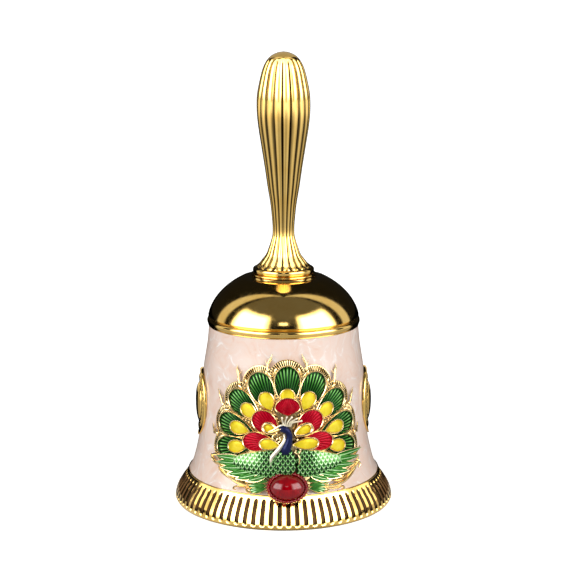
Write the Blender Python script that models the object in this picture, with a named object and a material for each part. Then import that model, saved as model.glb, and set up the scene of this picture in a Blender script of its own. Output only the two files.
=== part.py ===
"""Enamelled metal hand bell with a peacock ornament, a fluted handle and a hanging clapper.

The bell stands on its lip with its axis along +Z and the centre of the lip plane at the origin.
The peacock faces -Y. Sizes below are in millimetres; MM turns them into metres.
"""

import math

import bmesh
import bpy
from mathutils import Matrix, Vector

MM = 0.001

# ---------------------------------------------------------------- driving dimensions (mm)
LIP_RADIUS = 30.0
LIP_FLAT_INNER = 27.7
LIP_FLAT_OUTER = 29.4
SKIRT_TOP_Z = 8.2
WAIST_TOP_Z = 49.2
ENAMEL_THICKNESS = 0.6
WALL = 1.6
GAP = 0.08
BEAD_RADIUS = 20.65
BEAD_TOP_Z = 51.1
DOME_RADIUS = 20.1
DOME_BASE_Z = 50.3
DOME_HEIGHT = 13.9
DOME_POWER = 1.8
CROWN_Z = 62.5
CROWN_THICKNESS = 2.2
ROUND_SEGMENTS = 40

COLLAR_RADIUS = 8.3
COLLAR_HEIGHT = 2.1
HANDLE_FOOT_Z = CROWN_Z + COLLAR_HEIGHT + 2 * GAP
HANDLE_TOP_Z = 122.4
HANDLE_RIBS = 18
HANDLE_RIB_DEPTH = 0.4
HANDLE_SEGMENTS = 2 * HANDLE_RIBS

BOLT_RADIUS = 1.45
BOLT_HOLE_RADIUS = 1.65
BOLT_TOP_Z = 72.6
SOCKET_TOP_Z = 73.2
EYE_MAJOR = 2.6
EYE_WIRE = 0.8
RING_MAJOR = 2.6
RING_WIRE = 0.6
LOOP_MAJOR = 2.2
LOOP_WIRE = 0.7
LINK_PLAY = 0.15
EYE_PIVOT_Z = 51.6
ROD_RADIUS = 0.9
BALL_RADIUS = 5.5
BALL_Z = 12.6
BALL_BORE = 1.05
WASHER_RADIUS = 3.6
NUT_ACROSS_FLATS = 5.5

# Heights of the outer waist and skirt against radius, (z, r), read downwards from the bead.
WAIST_POINTS = [
    (8.2, 26.15), (10.0, 25.2), (13.0, 24.3), (18.4, 23.15), (24.0, 22.45),
    (31.0, 22.05), (37.2, 21.85), (41.0, 21.3), (44.5, 20.75), (49.4, 20.3),
]
SKIRT_POINTS = [(0.5, 29.9), (1.3, 30.0), (2.8, 29.7), (5.0, 28.35), (6.6, 27.2), (8.2, 26.2)]
HANDLE_POINTS = [
    (65.5, 7.2), (66.4, 6.0), (68.1, 4.7), (70.8, 3.6), (74.5, 2.95), (79.0, 3.2), (85.0, 4.05),
    (92.0, 5.1), (100.0, 6.4), (107.0, 7.15), (112.0, 6.95), (116.0, 6.1), (119.5, 4.75),
    (121.4, 3.2), (122.1, 1.9),
]

# Heights where the step under the enamel and the enamel's back share their corners.
STEP_HEIGHTS = (10.5, 14.5, 24.0, 37.2)

# The ornament is laid out flat, as arc length u across and height v up, then wrapped on the waist.
WRAP_RADIUS = 22.5
PLATE_HEIGHT = 0.85
PLATE_CLEARANCE = 0.25
CELL_FLOOR = 1.0
FAN_CENTRE_V = 22.7
FAN_STEP_DEG = 25.0
GREEN_TIP = 18.9
GREEN_ROOT = 9.0
GREEN_WIDTH = 5.9
EYE_TIP = 13.8
EYE_ROOT = 8.3
EYE_WIDTH = 3.7
RED_TIP = 11.0
RED_ROOT = 4.6
RED_WIDTH = 5.2
RED_ANGLES_DEG = [183.0, 138.0, 90.0, 42.0, -3.0]
INNER_EYE_TIP = 6.5
INNER_EYE_ROOT = 2.4
INNER_EYE_WIDTH = 2.7
RUBY_V = 10.3
RUBY_HALF_WIDTH = 4.6
RUBY_HALF_HEIGHT = 3.5
BOSS_V = 27.0
BOSS_HALF_WIDTH = 7.6
BOSS_HALF_HEIGHT = 10.0
BOSS_RISE = 2.1


# ---------------------------------------------------------------- scene and mesh helpers
def clear_scene():
    for obj in list(bpy.data.objects):
        bpy.data.objects.remove(obj)


def make_material(name, colour, roughness, metallic):
    material = bpy.data.materials.new(name)
    material.use_nodes = True
    shader = material.node_tree.nodes["Principled BSDF"]
    shader.inputs["Base Color"].default_value = (*colour, 1.0)
    shader.inputs["Roughness"].default_value = roughness
    shader.inputs["Metallic"].default_value = metallic
    return material


def make_parent(name, location):
    empty = bpy.data.objects.new(name, None)
    empty.location = Vector(location) * MM
    bpy.context.scene.collection.objects.link(empty)
    return empty


def add_solid(name, points, faces, material, parent=None):
    """One closed mesh from points in millimetres; its normals are turned outwards."""
    mesh = bpy.data.meshes.new(name)
    shift = parent.location if parent else Vector()
    mesh.from_pydata([Vector(p) * MM - shift for p in points], [], faces)
    work = bmesh.new()
    work.from_mesh(mesh)
    bmesh.ops.recalc_face_normals(work, faces=work.faces)
    work.to_mesh(mesh)
    work.free()
    mesh.shade_smooth()
    mesh.set_sharp_from_angle(angle=math.radians(35.0))
    mesh.materials.append(material)
    obj = bpy.data.objects.new(name, mesh)
    obj.parent = parent
    bpy.context.scene.collection.objects.link(obj)
    return obj


def spline_value(knots, x):
    """Smooth curve through (x, value) knots, with each tangent taken from its neighbours."""
    x = min(max(x, knots[0][0]), knots[-1][0])
    i = next(k for k in range(len(knots) - 1) if x <= knots[k + 1][0])

    def slope(k):
        low, high = knots[max(k - 1, 0)], knots[min(k + 1, len(knots) - 1)]
        return (high[1] - low[1]) / (high[0] - low[0])

    (x0, y0), (x1, y1) = knots[i], knots[i + 1]
    span = x1 - x0
    t = (x - x0) / span
    return (
        y0 * (1 + 2 * t) * (1 - t) ** 2
        + y1 * t * t * (3 - 2 * t)
        + span * slope(i) * t * (1 - t) ** 2
        - span * slope(i + 1) * t * t * (1 - t)
    )


def loop_faces(first, second, closed=True):
    """Quads between two rings of vertex numbers of the same length."""
    count = len(first)
    last = count if closed else count - 1
    return [
        (first[i], first[(i + 1) % count], second[(i + 1) % count], second[i])
        for i in range(last)
    ]


def turned(name, profile, material, parent=None, segments=ROUND_SEGMENTS, shape=None):
    """A turned solid. The profile is (r, z) points: closed on itself, or from axis to axis.

    shape(angle, r, z) may return a changed radius, which is how ribs are cut.
    """
    on_axis = profile[0][0] == 0.0
    points, rings = [], []
    for r, z in profile:
        if r == 0.0:
            rings.append([len(points)])
            points.append((0.0, 0.0, z))
            continue
        start = len(points)
        for k in range(segments):
            angle = 2 * math.pi * k / segments
            radius = shape(angle, r, z) if shape else r
            points.append((radius * math.sin(angle), -radius * math.cos(angle), z))
        rings.append(list(range(start, start + segments)))
    faces = []
    pairs = list(zip(rings, rings[1:]))
    if not on_axis:
        pairs.append((rings[-1], rings[0]))
    for a, b in pairs:
        if len(a) == 1:
            faces += [(a[0], b[k], b[(k + 1) % segments]) for k in range(segments)]
        elif len(b) == 1:
            faces += [(b[0], a[(k + 1) % segments], a[k]) for k in range(segments)]
        else:
            faces += loop_faces(a, b)
    return add_solid(name, points, faces, material, parent)


def torus_parts(centre, major, wire, across, segments=18, sides=8):
    """Vertices and faces of an upright wire ring. across is the ring's horizontal direction."""
    points, rings = [], []
    across = Vector(across)
    up = Vector((0, 0, 1))
    normal = across.cross(up)
    for i in range(segments):
        turn = 2 * math.pi * i / segments
        out = across * math.cos(turn) + up * math.sin(turn)
        rings.append(list(range(len(points), len(points) + sides)))
        for j in range(sides):
            side = 2 * math.pi * j / sides
            offset = out * (major + wire * math.cos(side)) + normal * wire * math.sin(side)
            points.append(Vector(centre) + offset)
    faces = []
    for a, b in zip(rings, rings[1:] + rings[:1]):
        faces += loop_faces(a, b)
    return points, faces


def union(target, other):
    """Joins other, which then stays only as a hidden helper, into target."""
    hide_helper(other)
    modifier = target.modifiers.new("join_" + other.name, "BOOLEAN")
    modifier.operation = "UNION"
    modifier.object = other


def cut(target, cutter):
    hide_helper(cutter)
    modifier = target.modifiers.new("cut_" + cutter.name, "BOOLEAN")
    modifier.operation = "DIFFERENCE"
    modifier.object = cutter


def hide_helper(obj):
    obj.hide_render = True
    obj.display_type = "WIRE"


# ---------------------------------------------------------------- the bell's own curves
def outer_radius(z):
    return spline_value(WAIST_POINTS if z > SKIRT_TOP_Z else SKIRT_POINTS, z)


def dome_radius(z, radius=DOME_RADIUS, base=DOME_BASE_Z, height=DOME_HEIGHT):
    share = max(0.0, (z - base) / height)
    return radius * math.sqrt(max(0.0, 1.0 - share**DOME_POWER))


def wrap(u, v, height):
    """A point of the flat ornament layout, height millimetres proud of the bell's surface."""
    step = 0.25
    slope = (outer_radius(v + step) - outer_radius(v - step)) / (2 * step)
    tilt = math.atan(-slope)
    angle = u / WRAP_RADIUS
    radius = outer_radius(v) + height * math.cos(tilt)
    return Vector((radius * math.sin(angle), -radius * math.cos(angle), v + height * math.sin(tilt)))


def fan_point(angle_deg, radius):
    angle = math.radians(angle_deg)
    return Vector((radius * math.cos(angle), FAN_CENTRE_V + radius * math.sin(angle)))


# ---------------------------------------------------------------- shell, enamel and handle
def inner_profile():
    """The inside of the shell, from the crown hole's rim down to the lip, as (r, z)."""
    skin = ENAMEL_THICKNESS + WALL
    crown = CROWN_Z - CROWN_THICKNESS
    dome_height = crown - DOME_BASE_Z + 1.2
    points = [(BOLT_HOLE_RADIUS, crown)]
    for z in (crown, 58.4, 55.0):
        points.append((dome_radius(z, DOME_RADIUS - skin, DOME_BASE_Z, dome_height), z))
    for z in (WAIST_TOP_Z, 37.2, 24.0, 14.5, 9.5):
        points.append((outer_radius(z) - skin, z))
    points += [(outer_radius(6.0) - skin - 0.3, 6.0), (LIP_FLAT_INNER, 2.0), (LIP_FLAT_INNER, 0.0)]
    return points


def build_shell(gold):
    """Dome, waist wall and flared skirt are one casting, with a step at each end of the enamel."""
    recess = ENAMEL_THICKNESS + GAP
    outside = [(LIP_FLAT_OUTER, 0.0)]
    outside += [(outer_radius(z), z) for z in (0.5, 1.3, 2.8, 5.0, 6.6, SKIRT_TOP_Z)]
    recess_heights = (SKIRT_TOP_Z + 0.01, *STEP_HEIGHTS, WAIST_TOP_Z)
    outside += [(outer_radius(z) - recess, z) for z in recess_heights]
    outside += [(BEAD_RADIUS - 0.1, WAIST_TOP_Z + 0.01), (BEAD_RADIUS, 49.9), (BEAD_RADIUS - 0.15, 50.8)]
    dome_heights = (BEAD_TOP_Z, 53.4, 55.8, 58.2, 60.4, CROWN_Z)
    outside += [(dome_radius(z), z) for z in dome_heights]
    outside += [(BOLT_HOLE_RADIUS, CROWN_Z)]
    return turned("bell_shell", outside + inner_profile(), gold)


def build_waist_enamel(pink):
    """The fired enamel sleeve that fills the step between the skirt and the bead."""
    low, high = SKIRT_TOP_Z + GAP, WAIST_TOP_Z - GAP
    outside = [(outer_radius(z), z) for z in (low, 10.0, 13.0, 18.4, 25.0, 33.0, 39.0, 44.0, high)]
    inner_heights = (high, *reversed(STEP_HEIGHTS), low)
    inside = [(outer_radius(z) - ENAMEL_THICKNESS, z) for z in inner_heights]
    return turned("waist_enamel", outside + inside, pink)


def rib_radius(angle, r, z):
    """Ribs with a groove at every 20 degrees between them; the ribs fade out at the tip."""
    if z <= HANDLE_FOOT_Z or r <= BOLT_HOLE_RADIUS:
        return r
    fade = min(1.0, (HANDLE_TOP_Z - z) / 3.0)
    return r - HANDLE_RIB_DEPTH * fade * 0.5 * (1 + math.cos(HANDLE_RIBS * angle))


def build_handle(gold):
    foot = [(0.0, SOCKET_TOP_Z), (BOLT_HOLE_RADIUS, SOCKET_TOP_Z), (BOLT_HOLE_RADIUS, HANDLE_FOOT_Z)]
    foot += [(7.5, HANDLE_FOOT_Z), (7.8, HANDLE_FOOT_Z + 0.35)]
    side = [(spline_value(HANDLE_POINTS, z), z) for z, _ in HANDLE_POINTS]
    tip = [(0.0, HANDLE_TOP_Z)]
    turned("handle", foot + side + tip, gold, segments=HANDLE_SEGMENTS, shape=rib_radius)


def build_collar(gold):
    low, high = CROWN_Z + GAP, CROWN_Z + GAP + COLLAR_HEIGHT
    bevel = 0.35
    turned(
        "handle_collar",
        [
            (BOLT_HOLE_RADIUS, low), (COLLAR_RADIUS - bevel, low), (COLLAR_RADIUS, low + bevel),
            (COLLAR_RADIUS, high - bevel), (COLLAR_RADIUS - bevel, high), (BOLT_HOLE_RADIUS, high),
        ],
        gold,
        segments=36,
    )


# ---------------------------------------------------------------- hardware inside the crown
def build_crown_hardware(steel):
    """Eye bolt up into the handle, with a washer and a nut that clamp the crown."""
    crown = CROWN_Z - CROWN_THICKNESS
    washer_low = crown - GAP - 0.6
    washer = [(BOLT_HOLE_RADIUS, washer_low), (WASHER_RADIUS, washer_low)]
    washer += [(WASHER_RADIUS, crown - GAP), (BOLT_HOLE_RADIUS, crown - GAP)]
    turned("crown_washer", washer, steel, segments=24)
    nut_high = washer_low - GAP
    nut_low = nut_high - 2.2
    corner = NUT_ACROSS_FLATS / math.cos(math.pi / 6) / 2

    def hexagon(angle, r, z):
        if r <= BOLT_HOLE_RADIUS:
            return r
        off_flat = (angle + math.pi / 6) % (math.pi / 3) - math.pi / 6
        return r * math.cos(math.pi / 6) / math.cos(off_flat)

    nut = [(BOLT_HOLE_RADIUS, nut_low), (corner, nut_low), (corner, nut_high), (BOLT_HOLE_RADIUS, nut_high)]
    turned("crown_nut", nut, steel, segments=24, shape=hexagon)
    eye_centre = EYE_PIVOT_Z + EYE_MAJOR
    shank_low = eye_centre + EYE_MAJOR - 0.4
    bolt = turned(
        "eye_bolt",
        [(0.0, shank_low), (BOLT_RADIUS, shank_low), (BOLT_RADIUS, BOLT_TOP_Z), (0.0, BOLT_TOP_Z)],
        steel,
        segments=16,
    )
    points, faces = torus_parts((0, 0, eye_centre), EYE_MAJOR, EYE_WIRE, (1, 0, 0))
    union(bolt, add_solid("eye_helper", points, faces, steel))


def ring_pivot_z():
    """Height of the wire that the clapper's loop hangs on, at the bottom of the hanger ring."""
    top_wire = EYE_PIVOT_Z + EYE_WIRE + RING_WIRE + LINK_PLAY
    return top_wire - 2 * RING_MAJOR


def build_hanger_ring(steel):
    pivot = make_parent("ring_pivot", (0, 0, EYE_PIVOT_Z))
    centre = ring_pivot_z() + RING_MAJOR
    points, faces = torus_parts((0, 0, centre), RING_MAJOR, RING_WIRE, (0, 1, 0))
    add_solid("hanger_ring", points, faces, steel, pivot)


def build_clapper(steel, gold):
    pivot = make_parent("clapper_pivot", (0, 0, ring_pivot_z()))
    loop_top = ring_pivot_z() + RING_WIRE + LOOP_WIRE + LINK_PLAY
    loop_centre = loop_top - LOOP_MAJOR
    rod_top = loop_centre - LOOP_MAJOR + 0.4
    rod_low = BALL_Z - BALL_RADIUS - 0.9
    rod = turned(
        "clapper_rod",
        [(0.0, rod_low), (ROD_RADIUS, rod_low), (ROD_RADIUS, rod_top), (0.0, rod_top)],
        steel,
        pivot,
        segments=16,
    )
    points, faces = torus_parts((0, 0, loop_centre), LOOP_MAJOR, LOOP_WIRE, (1, 0, 0))
    union(rod, add_solid("loop_helper", points, faces, steel, pivot))

    ball_steps = 10
    first = math.asin(BALL_BORE / BALL_RADIUS)
    arc = []
    for k in range(ball_steps + 1):
        polar = first + (math.pi - 2 * first) * k / ball_steps
        arc.append((BALL_RADIUS * math.sin(polar), BALL_Z - BALL_RADIUS * math.cos(polar)))
    turned("clapper_ball", arc, gold, pivot, segments=24)

    nut_top = BALL_Z - BALL_RADIUS - 0.02
    bore = ROD_RADIUS + 0.15
    turned(
        "clapper_end_nut",
        [(bore, nut_top - 1.1), (1.7, nut_top - 1.1), (2.0, nut_top - 0.6), (1.8, nut_top), (bore, nut_top)],
        gold,
        pivot,
        segments=16,
    )


# ---------------------------------------------------------------- the ornament
def plate_edge(angle_deg):
    """Distance of the plate's outline from the fan's centre, in the layout plane."""
    angle_deg = (angle_deg + 90.0) % 360.0 - 90.0
    scallop = 0.0
    for k in range(9):
        off = (angle_deg - (90.0 + FAN_STEP_DEG * (k - 4))) / (0.5 * FAN_STEP_DEG)
        if abs(off) < 1.0:
            scallop = max(scallop, 2.3 * math.sqrt(1.0 - off * off))
    fan = 18.6 + scallop
    below = -14.0 - min(angle_deg, 180.0 - angle_deg)
    if below <= 0.0:
        return fan
    lower = 20.6 - 8.2 * math.sin(math.radians(min(below * 1.15, 90.0))) ** 1.3
    return min(fan, lower)


def build_plate(gold):
    """The cast plate behind the whole peacock, bent to the waist."""
    spokes, rings = 72, 5
    points, top, bottom = [], [], []
    for height, loops in ((PLATE_HEIGHT, top), (PLATE_CLEARANCE, bottom)):
        loops.append([len(points)])
        points.append(wrap(0.0, FAN_CENTRE_V, height))
        for ring in range(1, rings + 1):
            loops.append(list(range(len(points), len(points) + spokes)))
            for k in range(spokes):
                angle = 360.0 * k / spokes
                spot = fan_point(angle, plate_edge(angle) * ring / rings)
                points.append(wrap(spot.x, max(spot.y, SKIRT_TOP_Z + 0.6), height))
    faces = []
    for loops in (top, bottom):
        faces += [(loops[0][0], loops[1][k], loops[1][(k + 1) % spokes]) for k in range(spokes)]
        for a, b in zip(loops[1:], loops[2:]):
            faces += loop_faces(a, b)
    faces += loop_faces(top[-1], bottom[-1])
    add_solid("peacock_plate", points, faces, gold)


def drop_outline(tip, root, width, grow=0.0, count=12, round_share=0.36):
    """A teardrop from its pointed root to its round tip, as layout points. grow moves it outwards."""
    axis = tip - root
    length = axis.length
    along = axis / length
    side = Vector((-along.y, along.x))
    outline = []
    for k in range(count):
        turn = 2 * math.pi * (k + 0.5) / count
        share = 0.5 + 0.5 * math.cos(turn)
        if share > 1 - round_share:
            off = (share - (1 - round_share)) / round_share
            half = math.sqrt(max(0.0, 1 - off * off))
        else:
            half = math.sin(0.5 * math.pi * share / (1 - round_share)) ** 0.9
        spot = root + along * (length * share + grow * math.cos(turn))
        outline.append(spot + side * math.copysign(half * width / 2 + grow, math.sin(turn)))
    return outline


def cell(name, outline, floor, rise, material, rim_share=0.45, bent_floor=False):
    """A domed enamel fill: floor, short side wall, and a crown over the middle.

    bent_floor adds a ring of corners to the floor of a long cell, so that it follows the bell.
    """
    centre = sum(outline, Vector((0.0, 0.0))) / len(outline)
    shoulder = [centre + (p - centre) * 0.62 for p in outline]
    points = [wrap(p.x, p.y, floor) for p in outline]
    points += [wrap(p.x, p.y, floor + rise * rim_share) for p in outline]
    points += [wrap(p.x, p.y, floor + rise * 0.88) for p in shoulder]
    points += [wrap(centre.x, centre.y, floor + rise), wrap(centre.x, centre.y, floor)]
    count = len(outline)
    low, rim, crown = (list(range(i * count, (i + 1) * count)) for i in range(3))
    top, bottom = 3 * count, 3 * count + 1
    faces = loop_faces(low, rim) + loop_faces(rim, crown)
    if bent_floor:
        half_way = [centre + (p - centre) * 0.5 for p in outline]
        inner = list(range(len(points), len(points) + count))
        points += [wrap(p.x, p.y, floor) for p in half_way]
        faces += loop_faces(inner, low)
        low = inner
    for k in range(count):
        faces.append((crown[k], crown[(k + 1) % count], top))
        faces.append((low[(k + 1) % count], low[k], bottom))
    return add_solid(name, points, faces, material)


def wing_outline(side, grow=0.0):
    shoulder, tip = Vector((side * 3.0, 15.9)), Vector((side * 18.6, 15.4))
    return drop_outline(shoulder, tip, 4.7, grow=grow, round_share=0.5)


def build_feathers(green, yellow, red):
    """Nine green feathers with yellow eyes behind five red feathers, all fanned about one centre."""
    clearance = 0.3
    wing_cutters = []
    for side in (-1, 1):
        grown = wing_outline(side, clearance)
        cutter = cell(f"wing_cutter_{side}", grown, CELL_FLOOR - 0.5, 3.0, green, rim_share=0.9)
        wing_cutters.append(cutter)
        hide_helper(cutter)
    red_cutters = []
    for k, angle in enumerate(RED_ANGLES_DEG, start=1):
        tip, root = fan_point(angle, RED_TIP), fan_point(angle, RED_ROOT)
        outline = drop_outline(tip, root, RED_WIDTH)
        feather = cell(f"feather_red_{k}", outline, CELL_FLOOR, 0.7, red)
        grown = drop_outline(tip, root, RED_WIDTH, grow=clearance)
        red_cutter = cell(f"red_cutter_{k}", grown, CELL_FLOOR - 0.5, 3.0, red, rim_share=0.9)
        hide_helper(red_cutter)
        red_cutters.append(red_cutter)
        if angle == 90.0:
            continue
        tip, root = fan_point(angle, INNER_EYE_TIP), fan_point(angle, INNER_EYE_ROOT)
        outline = drop_outline(tip, root, INNER_EYE_WIDTH)
        cell(f"inner_eye_{k}", outline, CELL_FLOOR, 0.8, yellow)
        grown = drop_outline(tip, root, INNER_EYE_WIDTH, grow=clearance)
        cutter = cell(f"inner_eye_cutter_{k}", grown, CELL_FLOOR - 0.5, 3.0, yellow, rim_share=0.9)
        cut(feather, cutter)
    for k in range(9):
        angle = 90.0 + FAN_STEP_DEG * (4 - k)
        tip, root = fan_point(angle, GREEN_TIP), fan_point(angle, GREEN_ROOT)
        outline = drop_outline(tip, root, GREEN_WIDTH)
        feather = cell(f"feather_green_{k + 1}", outline, CELL_FLOOR, 0.6, green)
        behind_red = min(abs(angle - red_angle) for red_angle in RED_ANGLES_DEG) < 10.0
        eye_root = RED_TIP + 2 * clearance if behind_red else EYE_ROOT
        tip, root = fan_point(angle, EYE_TIP), fan_point(angle, eye_root)
        outline = drop_outline(tip, root, EYE_WIDTH)
        eye = cell(f"feather_eye_{k + 1}", outline, CELL_FLOOR, 0.8, yellow)
        grown = drop_outline(tip, root, EYE_WIDTH, grow=clearance)
        cutter = cell(f"eye_cutter_{k + 1}", grown, CELL_FLOOR - 0.5, 3.0, yellow, rim_share=0.9)
        cut(feather, cutter)
        for red_angle, cutter in zip(RED_ANGLES_DEG, red_cutters):
            if abs(red_angle - angle) < FAN_STEP_DEG:
                cut(eye, cutter)
                cut(feather, cutter)
        if k in (0, 8):
            cut(feather, wing_cutters[0 if k == 0 else 1])


def swept(name, path, radii, material, sides=8):
    """A round bar along layout points (u, v, height), closed at both ends."""
    spots = [wrap(*p) for p in path]
    points, rings = [], []
    for i, spot in enumerate(spots):
        ahead = spots[min(i + 1, len(spots) - 1)] - spots[max(i - 1, 0)]
        out = Vector((spot.x, spot.y, 0.0)).normalized()
        side = ahead.cross(out).normalized()
        out = side.cross(ahead).normalized()
        rings.append(list(range(len(points), len(points) + sides)))
        for j in range(sides):
            turn = 2 * math.pi * j / sides
            points.append(spot + radii[i] * (side * math.cos(turn) + out * math.sin(turn)))
    faces = [tuple(rings[0]), tuple(reversed(rings[-1]))]
    for a, b in zip(rings, rings[1:]):
        faces += loop_faces(a, b)
    return add_solid(name, points, faces, material)


def build_bird(green, navy):
    """Neck and head, breast, wings and the leaves under them."""
    neck_path = [
        (-0.2, 20.6, 2.2), (0.4, 21.8, 2.4), (0.75, 23.2, 2.6), (0.8, 24.6, 2.8), (0.3, 25.8, 2.9),
        (-0.7, 26.3, 2.9), (-1.9, 25.9, 2.9), (-3.0, 25.3, 2.8), (-4.0, 24.9, 2.7),
    ]
    swept("neck_enamel", neck_path, [1.1, 1.0, 0.92, 0.9, 0.92, 0.95, 0.75, 0.4, 0.16], navy)
    breast = []
    for k in range(14):
        turn = 2 * math.pi * k / 14
        breast.append(Vector((2.3 * math.sin(turn), 17.0 + 3.0 * math.cos(turn))))
    cell("breast_enamel", breast, CELL_FLOOR, 1.5, green)
    for side, name in ((-1, "left"), (1, "right")):
        cell(f"wing_{name}", wing_outline(side), CELL_FLOOR, 0.9, green, bent_floor=True)
        leaf_tip, leaf_root = Vector((side * 5.9, 10.8)), Vector((side * 9.6, 9.9))
        cell(f"leaf_{name}", drop_outline(leaf_tip, leaf_root, 1.7), CELL_FLOOR, 0.6, green)


def stone_frame(u, v, height):
    """Origin and axes of a flat stone that lies against the bell."""
    centre = wrap(u, v, height)
    normal = (wrap(u, v, height + 1.0) - centre).normalized()
    across = Vector((0, 0, 1)).cross(normal).normalized()
    return Matrix((across, normal.cross(across), normal)).transposed(), centre


def oval_stone(name, profile, frame, material, half_width, half_height, lobes=0, segments=24):
    """A solid turned about the stone's normal and stretched to an oval. The profile is (share, height)."""
    axes, centre = frame
    points, rings = [], []
    for share, height in profile:
        if share == 0.0:
            rings.append([len(points)])
            points.append(centre + axes @ Vector((0, 0, height)))
            continue
        rings.append(list(range(len(points), len(points) + segments)))
        for k in range(segments):
            angle = 2 * math.pi * k / segments
            wave = 1.0 + (0.02 * math.cos(lobes * angle) if lobes and share > 0.95 else 0.0)
            across = half_width * share * wave * math.cos(angle)
            upward = half_height * share * wave * math.sin(angle)
            points.append(centre + axes @ Vector((across, upward, height)))
    faces = []
    pairs = list(zip(rings, rings[1:]))
    if profile[0][0] != 0.0:
        pairs.append((rings[-1], rings[0]))
    for a, b in pairs:
        if len(a) == 1:
            faces += [(a[0], b[k], b[(k + 1) % segments]) for k in range(segments)]
        elif len(b) == 1:
            faces += [(b[0], a[(k + 1) % segments], a[k]) for k in range(segments)]
        else:
            faces += loop_faces(a, b)
    return add_solid(name, points, faces, material)


def build_ruby(ruby):
    """An oval cabochon in a ribbed cup that overhangs the top of the skirt."""
    frame = stone_frame(0.0, RUBY_V, 1.55)
    cup = [(0.0, 0.0), (0.9, 0.0), (1.0, 0.5), (1.0, 1.0), (0.82, 1.5)]
    cup += [(0.76, 1.2), (0.76, 0.5), (0.0, 0.5)]
    oval_stone("ruby_cup", cup, frame, ruby, RUBY_HALF_WIDTH, RUBY_HALF_HEIGHT, lobes=12)
    gem = [(0.0, 0.6), (0.7, 0.6), (0.7, 1.2), (0.6, 1.75), (0.4, 2.15), (0.2, 2.35), (0.0, 2.4)]
    oval_stone("ruby_cabochon", gem, frame, ruby, RUBY_HALF_WIDTH, RUBY_HALF_HEIGHT)


def build_bosses(gold):
    """A low oval boss on each side of the waist, with a rim and a domed middle."""
    segments = 24
    steps = [(1.0, 0.5), (0.96, 0.9), (0.84, 1.05), (0.8, 0.95), (0.6, 1.6), (0.3, BOSS_RISE)]
    steps.append((0.0, BOSS_RISE + 0.1))
    floor = [(share, PLATE_CLEARANCE) for share in (1.0, 0.75, 0.5, 0.25, 0.0)]
    for side, name in ((-1, "left"), (1, "right")):
        middle = side * 0.5 * math.pi * WRAP_RADIUS
        points, loops = [], []
        for share, height in list(reversed(steps)) + floor:
            count = segments if share else 1
            loops.append(list(range(len(points), len(points) + count)))
            for k in range(count):
                angle = 2 * math.pi * k / segments
                u = middle + BOSS_HALF_WIDTH * share * math.cos(angle)
                v = BOSS_V + BOSS_HALF_HEIGHT * share * math.sin(angle)
                points.append(wrap(u, v, height))
        faces = []
        for a, b in zip(loops, loops[1:]):
            if len(a) == 1:
                faces += [(a[0], b[k], b[(k + 1) % segments]) for k in range(segments)]
            elif len(b) == 1:
                faces += [(b[0], a[(k + 1) % segments], a[k]) for k in range(segments)]
            else:
                faces += loop_faces(a, b)
        add_solid(f"side_boss_{name}", points, faces, gold)


# ---------------------------------------------------------------- the whole bell
def build_bell():
    clear_scene()
    gold = make_material("gold_plate", (0.83, 0.58, 0.2), 0.15, 1.0)
    steel = make_material("plated_steel", (0.66, 0.6, 0.5), 0.3, 1.0)
    pink = make_material("pink_enamel", (0.87, 0.72, 0.67), 0.2, 0.0)
    green = make_material("green_enamel", (0.03, 0.3, 0.07), 0.15, 0.2)
    yellow = make_material("yellow_enamel", (0.8, 0.62, 0.04), 0.2, 0.1)
    red = make_material("red_enamel", (0.55, 0.01, 0.04), 0.15, 0.2)
    navy = make_material("navy_enamel", (0.01, 0.015, 0.07), 0.15, 0.2)
    ruby = make_material("ruby_stone", (0.45, 0.0, 0.01), 0.08, 0.0)

    build_shell(gold)
    build_waist_enamel(pink)
    build_handle(gold)
    build_collar(gold)
    build_crown_hardware(steel)
    build_hanger_ring(steel)
    build_clapper(steel, gold)
    build_plate(gold)
    build_feathers(green, yellow, red)
    build_bird(green, navy)
    build_ruby(ruby)
    build_bosses(gold)


build_bell()
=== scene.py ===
"""Looks of the peacock hand bell: polished gold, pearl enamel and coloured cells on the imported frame.

Sizes are millimetres and MM turns them into metres. The bell's axis is +Z and the peacock faces -Y.
The ornament is laid out flat, as arc length u across and height v up, then wrapped on the waist.
"""

import math

import bmesh
import bpy
import numpy as np
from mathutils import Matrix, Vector


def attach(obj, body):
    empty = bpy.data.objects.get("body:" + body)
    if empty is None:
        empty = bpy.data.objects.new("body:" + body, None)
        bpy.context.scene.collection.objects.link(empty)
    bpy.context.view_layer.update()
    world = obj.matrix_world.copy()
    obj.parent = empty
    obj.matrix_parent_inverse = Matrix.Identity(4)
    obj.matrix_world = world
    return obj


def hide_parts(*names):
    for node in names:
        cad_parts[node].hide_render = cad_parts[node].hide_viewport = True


MM = 0.001

# ---------------------------------------------------------------- curves of the bell (mm)
SKIRT_TOP = 8.2
WAIST_TOP = 49.2
WAIST_POINTS = [
    (8.2, 26.15), (10.0, 25.2), (13.0, 24.3), (18.4, 23.15), (24.0, 22.45),
    (31.0, 22.05), (37.2, 21.85), (41.0, 21.3), (44.5, 20.75), (49.4, 20.3),
]
SKIRT_POINTS = [(0.3, 29.75), (0.9, 29.98), (2.8, 29.55), (5.0, 28.35), (6.6, 27.2), (8.2, 26.2)]
HANDLE_POINTS = [
    (64.9, 7.6), (65.5, 6.7), (66.4, 6.0), (68.1, 4.7), (69.9, 4.0), (71.7, 3.4), (73.4, 3.0),
    (75.5, 2.95), (78.0, 3.13), (82.0, 3.56), (86.0, 4.23), (92.0, 5.1), (98.0, 6.06),
    (103.0, 6.82), (107.0, 7.16), (111.0, 7.06), (115.0, 6.31), (118.0, 5.5), (120.0, 4.5),
    (121.3, 3.3), (122.0, 2.0), (122.3, 1.0),
]
DOME_RADIUS = 20.65
DOME_BASE = 50.3
DOME_HEIGHT = 14.2
DOME_POWER = 1.8
CROWN_Z = 62.5
INNER_SKIN = 2.2

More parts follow.
